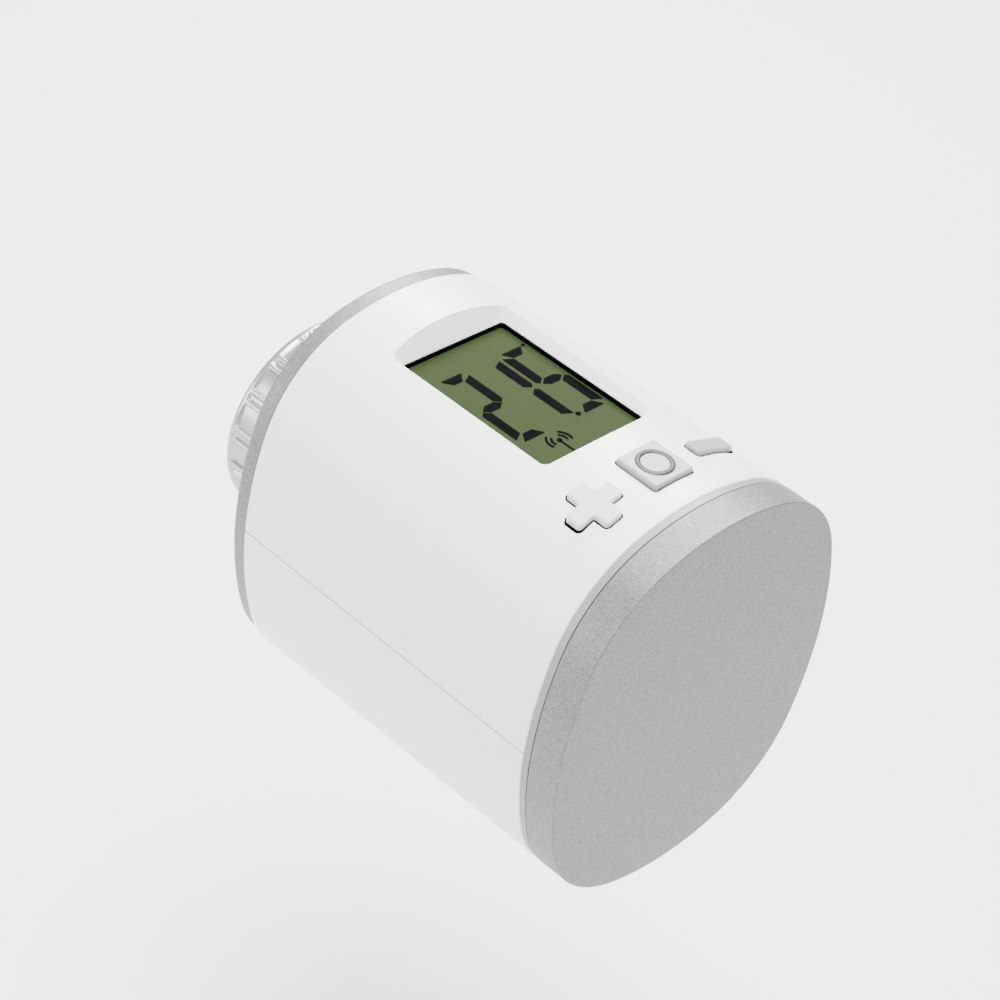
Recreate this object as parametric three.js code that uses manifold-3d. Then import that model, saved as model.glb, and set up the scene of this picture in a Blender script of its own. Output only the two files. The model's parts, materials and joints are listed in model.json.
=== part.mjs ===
// Electronic radiator thermostat head: a battery driven actuator that screws onto a valve with a
// union nut. Millimetres. The valve axis is X, from the valve (0) out to the end cap; Z points up
// through the display; the origin is the centre of the union nut's open end.

import * as THREE from "three";
import { mergeVertices } from "three/addons/utils/BufferGeometryUtils.js";
import Module from "manifold-3d";

const wasm = await Module();
wasm.setup();

// ---------------------------------------------------------------- driving dimensions

const GAP = 0.3;                 // space kept between neighbouring pieces
const WALL = 2.0;                // wall of the shells and the end cap

// stations along the valve axis
const NUT_LENGTH = 13.7;
const RING_START = 14.0;
const RING_END = 16.7;
const SHELL_START = RING_END + GAP;
const SHELL_END = 76.3;
const CAP_START = SHELL_END + GAP;
const CAP_END = 83.0;

// cross-section of the body where the base ring starts: four tangent pairs of arcs
const HALF_WIDTH = 27.4;
const HALF_HEIGHT = 32.9;
const CROWN_RADIUS = 37.2;
const FLANK_RADIUS = 59.0;
const CORNER_RADIUS = 21.3;
const WIDENING = 0.006;          // growth of the half width for each millimetre outwards
const LOWERING = 0.018;          // loss of the half height for each millimetre outwards

// union nut and neck
const NUT_RADIUS = 16.8;
const NUT_BODY_RADIUS = 16.1;
const THREAD_MINOR_RADIUS = 14.2;
const NUT_LIP_START = 11.5;
const NUT_RIM = 1.0;
const RIB_PAIRS = 16;
const RIB_WIDTH = 0.8;
const RIB_SPREAD = 1.9;          // distance between the two ribs of a pair
const NECK_RADIUS = 12.0;
const NECK_BORE = 7.5;
const NECK_START = 8.5;
const SNAP_RING_START = 9.6;
const SNAP_RING_END = 10.8;
const SNAP_RING_RADIUS = 13.4;
const SNAP_RING_OVERLAP = 0.5;   // of the ring into the neck's groove
const SNAP_RING_SPLIT = 3.0;
const FLANGE_THICKNESS = 2.0;

// display
const OPENING_START = 28.0;
const OPENING_END = 57.0;
const OPENING_HALF_WIDTH = 10.2;
const OPENING_Z = 29.2;          // height of the opening's edge
const POCKET_START = 27.0;       // the opening flares out to the pocket's edge on the crown
const POCKET_END = 58.3;
const POCKET_HALF_WIDTH = 11.5;
const LCD_TOP = 28.4;
const LCD_THICKNESS = 1.9;
const LCD_OVERLAP = 0.9;         // of the glass behind each side of the opening
const LCD_WALL = 1.0;            // wall of the frame round the glass
const LCD_LEDGE = 1.8;           // at both ends, under the glass

// buttons
const BUTTON_X = 68.0;
const BUTTON_SPACING = 11.6;
const BUTTON_PROUD = 0.85;
const BUTTON_TRAVEL = 0.6;
const TAB_LENGTH = 10.0;         // of the tabs that hold a key under the shell
const TAB_WIDTH = 3.0;
const TAB_THICKNESS = 0.7;
const COLUMN_WIDTH = 2.8;
const SELECT_SIZE = 7.7;
const ARM_LENGTH = 8.0;
const ARM_WIDTH = 2.9;

// circuit board
const BOARD_BOTTOM = 21.8;
const BOARD_THICKNESS = 1.2;
const BOARD_TOP = BOARD_BOTTOM + BOARD_THICKNESS;
const BOARD_START = 21.0;
const BOARD_END = 74.6;
const BOARD_HALF_WIDTH = 17.0;
const STEM_TOP = 26.0;
const SWITCH_SIZE = 4.5;
const SWITCH_HEIGHT = 1.6;
const SWITCH_FLOOR = 0.3;
const STEM_RADIUS = 1.0;
const CHIP_HEIGHT = 1.2;
const RADIO_HEIGHT = 2.8;
const SCREW_SHANK = 0.8;
const SCREW_HOLE = 1.15;
const SCREW_HEAD = 1.9;
const SCREW_HEAD_HEIGHT = 1.1;
const SCREW_LENGTH = 7.0;
const SLOT_WIDTH = 0.5;
const SLOT_DEPTH = 0.5;

// drive train: the spindle gear sits on the valve axis, the motor above it
const GEAR_MODULE = 0.5;
const SPINDLE_TEETH = 34;
const WHEEL_TEETH = 30;
const PINION_TEETH = 8;
const MOTOR_Z = GEAR_MODULE * (SPINDLE_TEETH + PINION_TEETH) / 2;
const IDLER_Y = GEAR_MODULE * (WHEEL_TEETH + PINION_TEETH) / 2;
const STAGE_1 = [20.9, 23.4];
const STAGE_2 = [23.8, 25.4];
const STAGE_3 = [25.8, 27.4];
const SHAFT_RADIUS = 0.8;
const PLUNGER_TIP = 8.8;         // retracted
const PLUNGER_HEAD_END = 14.8;
const PLUNGER_HEAD_RADIUS = 6.9;
const PLUNGER_SHAFT_RADIUS = 2.0;
const PLUNGER_SHAFT_END = 27.4;
const KEY_WIDTH = 2.0;           // keys in the neck that stop the plunger from turning
const KEY_INNER = 5.9;
const KEY_END = 18.0;
const JOURNAL_RADIUS = 5.0;
const RUNNING_GAP = 0.2;         // radial, round the turning shafts
const PINION_SHAFT_RADIUS = 0.75;
const HOUSING_START = 19.3;
const HOUSING_END = 28.1;
const HOUSING_INSET = 2.6;
const HOUSING_WALL = 1.0;
const HOUSING_FLOOR = HOUSING_START + 1.2;
const HOUSING_BOTTOM = -10.4;
const HOUSING_TOP = 21.5;
const COVER_START = HOUSING_END + GAP;
const COVER_END = 29.6;
const MOTOR_START = COVER_END + GAP;
const MOTOR_END = 50.0;
const MOTOR_RADIUS = 8.5;
const MOTOR_FLAT = 6.5;
const MOTOR_TAIL = 1.5;

// batteries
const BATTERY_RADIUS = 7.25;
const BATTERY_LENGTH = 50.5;
const BATTERY_NUB = 1.0;
const NUB_RADIUS = 2.6;
const BATTERY_Y = 8.0;
const BATTERY_Z = -19.5;
const TRAY_START = 19.5;
const TRAY_WALL = 1.2;
const TRAY_END = 76.9;
const TRAY_TOP = -10.7;
const TRAY_THICKNESS = 1.2;
const CONTACT_THICKNESS = 0.3;
const CONTACT_HALF = 5.5;
const SPRING_RADII = [4.4, 2.8];
const SPRING_WIRE_RADIUS = 0.3;
const SPRING_TURNS = 2;

// ---------------------------------------------------------------- solids

const TO_AXIS = new THREE.Matrix4().set(0, 0, 1, 0, 1, 0, 0, 0, 0, 1, 0, 0, 0, 0, 0, 1);

function solid(geometry) {
  const bare = geometry.clone();
  bare.deleteAttribute("normal");
  bare.deleteAttribute("uv");
  const merged = mergeVertices(bare, 1e-4);
  return new wasm.Manifold(new wasm.Mesh({
    numProp: 3,
    vertProperties: new Float32Array(merged.attributes.position.array),
    triVerts: new Uint32Array(merged.index.array),
  }));
}

function geometryOf(manifold) {
  const mesh = manifold.getMesh();
  const geometry = new THREE.BufferGeometry();
  geometry.setAttribute("position", new THREE.BufferAttribute(mesh.vertProperties, 3));
  geometry.setIndex(new THREE.BufferAttribute(mesh.triVerts, 1));
  geometry.computeVertexNormals();
  return geometry;
}

function block(x0, x1, y0, y1, z0, z1) {
  const box = new THREE.BoxGeometry(x1 - x0, y1 - y0, z1 - z0);
  return solid(box.translate((x0 + x1) / 2, (y0 + y1) / 2, (z0 + z1) / 2));
}

// a shape drawn in the Y, Z plane, drawn out along X
function extruded(shape, x0, x1, curveSegments = 3) {
  const options = { depth: x1 - x0, bevelEnabled: false, curveSegments };
  const geometry = new THREE.ExtrudeGeometry(shape, options).applyMatrix4(TO_AXIS);
  return geometry.translate(x0, 0, 0);
}

function rod(radius, x0, x1, y = 0, z = 0, sides = 24) {
  const cylinder = new THREE.CylinderGeometry(radius, radius, x1 - x0, sides);
  return solid(cylinder.rotateZ(-Math.PI / 2).translate((x0 + x1) / 2, y, z));
}

function post(radius, x, y, z0, z1, sides = 16) {
  const cylinder = new THREE.CylinderGeometry(radius, radius, z1 - z0, sides);
  return solid(cylinder.rotateX(Math.PI / 2).translate(x, y, (z0 + z1) / 2));
}

// where the corner arc's centre lies so that it touches the crown and the flank
function cornerCentre(crownCentreZ, flankCentreY, crownReach, flankReach) {
  const span = Math.hypot(crownCentreZ, flankCentreY);
  const along = (crownReach ** 2 - flankReach ** 2 + span ** 2) / (2 * span);
  const across = Math.sqrt(crownReach ** 2 - along ** 2);
  const uy = flankCentreY / span;
  const uz = -crownCentreZ / span;
  return [along * uy + across * uz, crownCentreZ + along * uz - across * uy];
}

// the body's cross-section, drawn inset millimetres inside the outer surface
function bodyShape(inset) {
  const crownZ = HALF_HEIGHT - CROWN_RADIUS;
  const flankY = HALF_WIDTH - FLANK_RADIUS;
  const reach = CORNER_RADIUS;
  const [cy, cz] = cornerCentre(crownZ, flankY, CROWN_RADIUS - reach, FLANK_RADIUS - reach);
  const crownAngle = Math.atan2(cz - crownZ, cy);
  const flankAngle = Math.atan2(cz, cy - flankY);
  const crown = CROWN_RADIUS - inset;
  const flank = FLANK_RADIUS - inset;
  const corner = CORNER_RADIUS - inset;
  const turn = Math.PI;
  const shape = new THREE.Shape();
  shape.absarc(cy, cz, corner, flankAngle, crownAngle);
  shape.absarc(0, crownZ, crown, crownAngle, turn - crownAngle);
  shape.absarc(-cy, cz, corner, turn - crownAngle, turn - flankAngle);
  shape.absarc(-flankY, 0, flank, turn - flankAngle, turn + flankAngle);
  shape.absarc(-cy, -cz, corner, turn + flankAngle, turn + crownAngle);
  shape.absarc(0, -crownZ, crown, turn + crownAngle, 2 * turn - crownAngle);
  shape.absarc(cy, -cz, corner, -crownAngle, -flankAngle);
  shape.absarc(flankY, 0, flank, -flankAngle, flankAngle);
  return shape;
}

const widthScale = (x) => 1 + WIDENING * (x - RING_START) / HALF_WIDTH;
const heightScale = (x) => 1 - LOWERING * (x - RING_START) / HALF_HEIGHT;

// a length of the tapering body between two stations
function body(inset, x0, x1) {
  const geometry = extruded(bodyShape(inset), x0, x1);
  const position = geometry.attributes.position;
  for (let i = 0; i < position.count; i += 1) {
    const x = position.getX(i);
    position.setY(i, position.getY(i) * widthScale(x));
    position.setZ(i, position.getZ(i) * heightScale(x));
  }
  return solid(geometry);
}

// height of the crown over a point, inset millimetres inside the outer surface
function crownHeight(x, y, inset = 0) {
  const radius = CROWN_RADIUS - inset;
  const local = y / widthScale(x);
  return (HALF_HEIGHT - CROWN_RADIUS + Math.sqrt(radius ** 2 - local ** 2)) * heightScale(x);
}

// a box that widens from its lower rectangle to its upper one
function flaredBox(lower, upper, z0, z1) {
  const geometry = new THREE.BoxGeometry(2, 2, 2);
  const position = geometry.attributes.position;
  for (let i = 0; i < position.count; i += 1) {
    const [x0, x1, halfWidth] = position.getZ(i) > 0 ? upper : lower;
    const x = position.getX(i) > 0 ? x1 : x0;
    const y = position.getY(i) > 0 ? halfWidth : -halfWidth;
    position.setXYZ(i, x, y, position.getZ(i) > 0 ? z1 : z0);
  }
  return solid(geometry);
}

// ---------------------------------------------------------------- assembly helpers

const thermostat = new THREE.Group();

function material(color, roughness, metalness = 0) {
  return new THREE.MeshStandardMaterial({ color, roughness, metalness });
}

function add(name, manifold, look) {
  const mesh = new THREE.Mesh(geometryOf(manifold), look);
  mesh.name = name;
  thermostat.add(mesh);
}

const whitePlastic = () => material(0xf0f0ee, 0.35);
const silverPaint = () => material(0xc4c4c6, 0.4, 0.6);
const blackPlastic = () => material(0x16181a, 0.5);
const greyPlastic = () => material(0x9a9c9e, 0.6);
const gearPlastic = () => material(0xe9e4d2, 0.45);
const steel = () => material(0xb8babc, 0.3, 1);

// ---------------------------------------------------------------- base, neck and union nut

const BOSS_RADIUS = NUT_RADIUS + 0.1;

function baseRing() {
  const ring = body(0.5, RING_START, RING_END);
  return ring.subtract(rod(BOSS_RADIUS + GAP, RING_START - 1, RING_END + 1, 0, 0, 48));
}

function basePlate() {
  const flange = body(WALL + 0.4, SHELL_START, SHELL_START + FLANGE_THICKNESS);
  const boss = rod(BOSS_RADIUS, RING_START, SHELL_START + 1, 0, 0, 48);
  const neck = rod(NECK_RADIUS, NECK_START, RING_START + 1, 0, 0, 40);
  const bore = rod(NECK_BORE, NECK_START - 1, SHELL_START + 3, 0, 0, 32);
  const grooveStart = SNAP_RING_START - GAP;
  const grooveEnd = SNAP_RING_END + GAP;
  const groove = rod(NECK_RADIUS + 1, grooveStart, grooveEnd, 0, 0, 40)
    .subtract(rod(NECK_RADIUS - SNAP_RING_OVERLAP - GAP, grooveStart - 1, grooveEnd + 1, 0, 0, 40));
  const key = (z0, z1) => block(NECK_START, KEY_END, -KEY_WIDTH / 2, KEY_WIDTH / 2, z0, z1);
  const rooted = NECK_BORE + 0.5;
  return flange.add(boss).add(neck).subtract(bore).subtract(groove)
    .add(key(KEY_INNER, rooted)).add(key(-rooted, -KEY_INNER));
}

function retainingRing() {
  const bore = NECK_RADIUS - SNAP_RING_OVERLAP;
  const ring = rod(SNAP_RING_RADIUS, SNAP_RING_START, SNAP_RING_END, 0, 0, 40)
    .subtract(rod(bore, SNAP_RING_START - 1, SNAP_RING_END + 1, 0, 0, 40));
  return ring.subtract(block(SNAP_RING_START - 1, SNAP_RING_END + 1,
    -SNAP_RING_SPLIT / 2, SNAP_RING_SPLIT / 2, -SNAP_RING_RADIUS - 1, 0));
}

function unionNut() {
  let nut = rod(NUT_BODY_RADIUS, 0, NUT_LENGTH, 0, 0, 48);
  nut = nut.add(rod(NUT_RADIUS, 0, NUT_RIM, 0, 0, 48));
  for (let pair = 0; pair < RIB_PAIRS; pair += 1) {
    for (const side of [-1, 1]) {
      const angle = 2 * Math.PI * (pair + 0.5) / RIB_PAIRS + side * RIB_SPREAD / (2 * NUT_RADIUS);
      const rib = block(NUT_RIM - 0.5, NUT_LENGTH, -RIB_WIDTH / 2, RIB_WIDTH / 2,
        NUT_BODY_RADIUS - 1, NUT_RADIUS - 0.05);
      nut = nut.add(rib.rotate([angle * 180 / Math.PI, 0, 0]));
    }
  }
  const socket = rod(THREAD_MINOR_RADIUS, -1, NUT_LIP_START, 0, 0, 40);
  const lip = rod(NECK_RADIUS + 0.4, -1, NUT_LENGTH + 1, 0, 0, 40);
  return nut.subtract(socket).subtract(lip);
}

add("base_ring", baseRing(), silverPaint());
add("base_plate", basePlate(), greyPlastic());
add("retaining_ring", retainingRing(), steel());
add("union_nut", unionNut(), material(0xd2d3d4, 0.3, 0.4));

// ---------------------------------------------------------------- shells and end cap

// outlines of the three buttons, seen from above, grown by a margin
function buttonPrism(kind, y, z0, z1, margin = 0) {
  const long = ARM_LENGTH / 2 + margin;
  const short = ARM_WIDTH / 2 + margin;
  const square = SELECT_SIZE / 2 + margin;
  const bar = (dx, dy) => block(BUTTON_X - dx, BUTTON_X + dx, y - dy, y + dy, z0, z1);
  if (kind === "plus") return bar(long, short).add(bar(short, long));
  if (kind === "minus") return bar(short, square);
  return bar(square, square);
}

const BUTTONS = [
  { kind: "plus", y: -BUTTON_SPACING },
  { kind: "select", y: 0 },
  { kind: "minus", y: BUTTON_SPACING },
];

// the display sits in a bay that leaves the frame free under the crown
const FRAME_MARGIN = LCD_OVERLAP + GAP + LCD_WALL;
const FRAME_START = OPENING_START - FRAME_MARGIN;
const FRAME_END = OPENING_END + FRAME_MARGIN;
const FRAME_HALF_WIDTH = OPENING_HALF_WIDTH + FRAME_MARGIN;
const FRAME_TOP = LCD_TOP + 0.1;
const BAY_TOP = FRAME_TOP + GAP;

function upperShell() {
  const outer = body(0, SHELL_START, SHELL_END);
  const inner = body(WALL, SHELL_START - 1, SHELL_END + 1);
  const surround = block(FRAME_START - 0.7, FRAME_END + 0.7,
    -FRAME_HALF_WIDTH - 0.7, FRAME_HALF_WIDTH + 0.7, BAY_TOP - 1, 40);
  const bay = block(FRAME_START - GAP, FRAME_END + GAP,
    -FRAME_HALF_WIDTH - GAP, FRAME_HALF_WIDTH + GAP, 15, BAY_TOP);
  const opening = block(OPENING_START, OPENING_END,
    -OPENING_HALF_WIDTH, OPENING_HALF_WIDTH, BAY_TOP - 1, OPENING_Z + 1);
  const rise = crownHeight(POCKET_START, POCKET_HALF_WIDTH) - OPENING_Z;
  const grow = 3;                // the flare carries on past the crown
  const upper = [
    OPENING_START + (POCKET_START - OPENING_START) * grow,
    OPENING_END + (POCKET_END - OPENING_END) * grow,
    OPENING_HALF_WIDTH + (POCKET_HALF_WIDTH - OPENING_HALF_WIDTH) * grow,
  ];
  const pocket = flaredBox([OPENING_START, OPENING_END, OPENING_HALF_WIDTH], upper,
    OPENING_Z, OPENING_Z + rise * grow);
  const lower = block(SHELL_START - 2, SHELL_END + 2, -40, 40, -40, GAP / 2);
  let shell = outer.subtract(inner).add(outer.intersect(surround));
  shell = shell.subtract(bay).subtract(opening).subtract(pocket).subtract(lower);
  for (const { kind, y } of BUTTONS) {
    shell = shell.subtract(buttonPrism(kind, y, 20, 40, GAP));
  }
  return shell;
}

function batteryCover() {
  const shell = body(0, SHELL_START, SHELL_END).subtract(body(WALL, SHELL_START - 1, SHELL_END + 1));
  return shell.subtract(block(SHELL_START - 2, SHELL_END + 2, -40, 40, -GAP / 2, 40));
}

function endCap() {
  return body(0, CAP_START, CAP_END).subtract(body(WALL, CAP_START - 1, CAP_END - WALL));
}

add("upper_shell", upperShell(), whitePlastic());
add("battery_cover", batteryCover(), whitePlastic());
add("end_cap", endCap(), silverPaint());

// ---------------------------------------------------------------- display and circuit board

// an open frame: the glass drops in from above and rests on a ledge at each end
function lcdFrame() {
  const frame = block(FRAME_START, FRAME_END, -FRAME_HALF_WIDTH, FRAME_HALF_WIDTH,
    BOARD_TOP + GAP, FRAME_TOP);
  const half = FRAME_HALF_WIDTH - LCD_WALL;
  const seat = block(FRAME_START + LCD_WALL, FRAME_END - LCD_WALL, -half, half,
    LCD_TOP - LCD_THICKNESS - GAP, FRAME_TOP + 1);
  const below = block(FRAME_START + LCD_WALL + LCD_LEDGE, FRAME_END - LCD_WALL - LCD_LEDGE,
    -half, half, BOARD_TOP, FRAME_TOP);
  return frame.subtract(seat).subtract(below);
}

const LCD_START = OPENING_START - LCD_OVERLAP;
const LCD_END = OPENING_END + LCD_OVERLAP;
const LCD_HALF_WIDTH = OPENING_HALF_WIDTH + LCD_OVERLAP;

function lcdGlass() {
  return block(LCD_START, LCD_END, -LCD_HALF_WIDTH, LCD_HALF_WIDTH,
    LCD_TOP - LCD_THICKNESS, LCD_TOP);
}

// the rubber connector that joins the glass to the board
function zebraStrip() {
  return block(LCD_START + 3, LCD_END - 3, LCD_HALF_WIDTH - 2.6, LCD_HALF_WIDTH - 0.8,
    BOARD_TOP + GAP, LCD_TOP - LCD_THICKNESS - GAP);
}

const BOARD_SCREWS = [36, 72.6].flatMap((x) => [[x, -14.6], [x, 14.6]]);

function circuitBoard() {
  let board = block(BOARD_START, BOARD_END, -BOARD_HALF_WIDTH, BOARD_HALF_WIDTH,
    BOARD_BOTTOM, BOARD_TOP);
  for (const [x, y] of BOARD_SCREWS) {
    board = board.subtract(post(SCREW_HOLE, x, y, BOARD_BOTTOM - 1, BOARD_TOP + 1));
  }
  return board;
}

function boardScrew(x, y) {
  const headBottom = BOARD_TOP + GAP;
  const shank = post(SCREW_SHANK, x, y, headBottom - SCREW_LENGTH, headBottom + 0.2, 12);
  const headTop = headBottom + SCREW_HEAD_HEIGHT;
  const slot = block(x - SCREW_HEAD, x + SCREW_HEAD, y - SLOT_WIDTH / 2, y + SLOT_WIDTH / 2,
    headTop - SLOT_DEPTH, headTop + 1);
  return post(SCREW_HEAD, x, y, headBottom, headTop, 16).add(shank).subtract(slot);
}

add("lcd_frame", lcdFrame(), blackPlastic());
add("lcd_glass", lcdGlass(), material(0x76895a, 0.15));
add("zebra_strip", zebraStrip(), material(0x3a3f45, 0.8));
add("circuit_board", circuitBoard(), material(0x1f5a34, 0.5));
BOARD_SCREWS.forEach(([x, y], i) => add(`board_screw_${i + 1}`, boardScrew(x, y), steel()));

function microcontroller() {
  return block(40, 48, 9.6, 15.2, BOARD_BOTTOM - GAP - CHIP_HEIGHT, BOARD_BOTTOM - GAP);
}

function radioModule() {
  return block(55, 70, -7, 7, BOARD_BOTTOM - GAP - RADIO_HEIGHT, BOARD_BOTTOM - GAP);
}

add("microcontroller", microcontroller(), material(0x1b1c1e, 0.4));
add("radio_module", radioModule(), steel());

// ---------------------------------------------------------------- buttons and their switches

function switchBase(y) {
  const half = SWITCH_SIZE / 2;
  const bottom = BOARD_TOP + GAP;
  const housing = block(BUTTON_X - half, BUTTON_X + half, y - half, y + half,
    bottom, bottom + SWITCH_HEIGHT);
  const well = STEM_RADIUS + GAP;
  return housing.subtract(post(well, BUTTON_X, y, bottom + SWITCH_FLOOR, bottom + SWITCH_HEIGHT + 1));
}

function switchStem(y) {
  const foot = BOARD_TOP + GAP + SWITCH_FLOOR + GAP + BUTTON_TRAVEL;
  return post(STEM_RADIUS, BUTTON_X, y, foot, STEM_TOP);
}

// the key follows the crown on top and is held under the shell by two tabs
function button(kind, y) {
  const bottom = STEM_TOP + GAP;
  const around = (dx, dy, z0, z1) => block(BUTTON_X - dx, BUTTON_X + dx, y - dy, y + dy, z0, z1);
  const tabTop = crownHeight(BUTTON_X + TAB_LENGTH / 2, Math.abs(y) + TAB_WIDTH / 2, WALL) - GAP;
  const tabBottom = tabTop - TAB_THICKNESS;
  const cap = buttonPrism(kind, y, 20, 40)
    .intersect(body(-BUTTON_PROUD, BUTTON_X - SELECT_SIZE, BUTTON_X + SELECT_SIZE))
    .subtract(around(SELECT_SIZE, SELECT_SIZE, 10, tabBottom));
  const key = cap.add(around(TAB_LENGTH / 2, TAB_WIDTH / 2, tabBottom, tabTop));
  if (tabBottom <= bottom) return key;
  return key.add(around(COLUMN_WIDTH / 2, COLUMN_WIDTH / 2, bottom, tabTop));
}

for (const { kind, y } of BUTTONS) {
  const look = kind === "plus" ? material(0xe4e5e4, 0.35) : material(0xbcbdbc, 0.4);
  add(`${kind}_button`, button(kind, y), look);
  add(`${kind}_switch`, switchBase(y), blackPlastic());
  add(`${kind}_switch_stem`, switchStem(y), material(0x8a4a2a, 0.5));
}

// ---------------------------------------------------------------- drive train

function gearShape(teeth, firstTooth) {
  const pitch = GEAR_MODULE * teeth / 2;
  const tip = pitch + 0.8 * GEAR_MODULE;
  const root = pitch - 1.15 * GEAR_MODULE;
  const step = 2 * Math.PI / teeth;
  const shape = new THREE.Shape();
  for (let tooth = 0; tooth < teeth; tooth += 1) {
    const middle = firstTooth + tooth * step;
    const corners = [[-0.28, root], [-0.1, tip], [0.1, tip], [0.28, root]];
    corners.forEach(([turn, radius], corner) => {
      const angle = middle + turn * step;
      const place = [radius * Math.cos(angle), radius * Math.sin(angle)];
      if (tooth + corner === 0) shape.moveTo(...place);
      else shape.lineTo(...place);
    });
  }
  return shape;
}

function gear(teeth, [x0, x1], firstTooth, y = 0, z = 0) {
  return solid(extruded(gearShape(teeth, firstTooth), x0, x1).translate(0, y, z));
}

const UP = Math.PI / 2;
const HALF_PINION_STEP = Math.PI / PINION_TEETH;

function spindleGear() {
  const journal = rod(JOURNAL_RADIUS, HOUSING_START, STAGE_1[0] + 0.5);
  const bore = rod(PLUNGER_SHAFT_RADIUS + GAP, HOUSING_START - 1, STAGE_1[1] + 1, 0, 0, 16);
  return gear(SPINDLE_TEETH, STAGE_1, UP).add(journal).subtract(bore);
}

// a large wheel and a small pinion in one piece, running on a fixed shaft
function reductionGear(pinionStage, wheelStage, pinionTooth, wheelTooth, y) {
  const overlap = [pinionStage[0], wheelStage[0] + 0.5];
  const pinion = gear(PINION_TEETH, overlap, pinionTooth, y, MOTOR_Z);
  const wheel = gear(WHEEL_TEETH, wheelStage, wheelTooth, y, MOTOR_Z);
  const bore = rod(SHAFT_RADIUS + RUNNING_GAP, pinionStage[0] - 1, wheelStage[1] + 1, y, MOTOR_Z, 12);
  return pinion.add(wheel).subtract(bore);
}

function motorPinion() {
  const teeth = gear(PINION_TEETH, STAGE_3, HALF_PINION_STEP, 0, MOTOR_Z);
  return teeth.add(rod(PINION_SHAFT_RADIUS, STAGE_3[1] - 0.5, MOTOR_START + 6, 0, MOTOR_Z, 12));
}

function motor() {
  const can = rod(MOTOR_RADIUS, MOTOR_START, MOTOR_END, 0, MOTOR_Z, 32)
    .intersect(block(MOTOR_START - 1, MOTOR_END + 1, -20, 20,
      MOTOR_Z - MOTOR_FLAT, MOTOR_Z + MOTOR_FLAT));
  const tail = rod(2.5, MOTOR_END - 1, MOTOR_END + MOTOR_TAIL, 0, MOTOR_Z, 16);
  const bore = rod(PINION_SHAFT_RADIUS + GAP + 0.05, MOTOR_START - 1, MOTOR_START + 7, 0, MOTOR_Z, 12);
  return can.add(tail).subtract(bore);
}

function plunger() {
  const head = rod(PLUNGER_HEAD_RADIUS, PLUNGER_TIP, PLUNGER_HEAD_END, 0, 0, 24);
  const shaft = rod(PLUNGER_SHAFT_RADIUS, PLUNGER_HEAD_END - 1, PLUNGER_SHAFT_END, 0, 0, 16);
  const keyway = (z0, z1) => block(PLUNGER_TIP - 1, PLUNGER_HEAD_END + 1,
    -KEY_WIDTH / 2 - GAP, KEY_WIDTH / 2 + GAP, z0, z1);
  const floor = KEY_INNER - 0.4;
  return head.subtract(keyway(floor, 9)).subtract(keyway(-9, -floor)).add(shaft);
}

const HOUSING_SCREWS = [[-15, 14], [-17, -4], [17, -4]];

// the body's section inside the shells, cut level above and below
function housingSection(inset, x0, x1, shrink) {
  const level = block(x0 - 1, x1 + 1, -40, 40, HOUSING_BOTTOM + shrink, HOUSING_TOP - shrink);
  return body(HOUSING_INSET + inset, x0, x1).intersect(level);
}

function gearboxHousing() {
  let housing = housingSection(0, HOUSING_START, HOUSING_END, 0)
    .subtract(housingSection(HOUSING_WALL, HOUSING_FLOOR, HOUSING_END + 1, HOUSING_WALL));
  for (const [y, z] of HOUSING_SCREWS) {
    const boss = rod(2.3, HOUSING_START, HOUSING_END, y, z, 16);
    housing = housing.add(boss).subtract(rod(SCREW_HOLE, HOUSING_FLOOR, HOUSING_END + 1, y, z, 12));
  }
  for (const y of [0, IDLER_Y]) {
    const start = HOUSING_START + 0.4;
    housing = housing.subtract(rod(SHAFT_RADIUS + RUNNING_GAP, start, HOUSING_FLOOR + 1, y, MOTOR_Z, 12));
  }
  return housing.subtract(rod(JOURNAL_RADIUS + GAP, HOUSING_START - 1, HOUSING_FLOOR + 1, 0, 0, 24));
}

function gearboxCover() {
  let cover = housingSection(0, COVER_START, COVER_END, 0);
  const hole = (radius, y, z) => rod(radius, COVER_START - 1, COVER_END + 1, y, z, 12);
  for (const [y, z] of HOUSING_SCREWS) cover = cover.subtract(hole(SCREW_HOLE, y, z));
  return cover.subtract(hole(SHAFT_RADIUS + RUNNING_GAP, IDLER_Y, MOTOR_Z))
    .subtract(hole(1.6, 0, MOTOR_Z));
}

function gearboxScrew(y, z) {
  const headStart = COVER_END + GAP;
  const headEnd = headStart + SCREW_HEAD_HEIGHT;
  const shank = rod(SCREW_SHANK, headStart - SCREW_LENGTH, headStart + 0.2, y, z, 12);
  const slot = block(headEnd - SLOT_DEPTH, headEnd + 1, y - SCREW_HEAD, y + SCREW_HEAD,
    z - SLOT_WIDTH / 2, z + SLOT_WIDTH / 2);
  return rod(SCREW_HEAD, headStart, headEnd, y, z, 16).add(shank).subtract(slot);
}

function gearShaft(y, x1) {
  return rod(SHAFT_RADIUS, HOUSING_START + 0.6, x1, y, MOTOR_Z, 12);
}

add("plunger", plunger(), material(0xc9a45a, 0.35, 0.9));
add("spindle_gear", spindleGear(), gearPlastic());
add("reduction_gear_2", reductionGear(STAGE_1, STAGE_2, -UP + HALF_PINION_STEP, 0, 0), gearPlastic());
add("reduction_gear_1",
  reductionGear(STAGE_2, STAGE_3, Math.PI + HALF_PINION_STEP, Math.PI, IDLER_Y), gearPlastic());
add("motor_pinion", motorPinion(), material(0xc9a45a, 0.3, 0.9));
add("motor", motor(), steel());
add("gear_shaft_1", gearShaft(IDLER_Y, COVER_END - 0.1), steel());
add("gear_shaft_2", gearShaft(0, STAGE_2[1]), steel());
add("gearbox_housing", gearboxHousing(), greyPlastic());
add("gearbox_cover", gearboxCover(), greyPlastic());
HOUSING_SCREWS.forEach(([y, z], i) => add(`gearbox_screw_${i + 1}`, gearboxScrew(y, z), steel()));

// ---------------------------------------------------------------- battery tray and contacts

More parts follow.
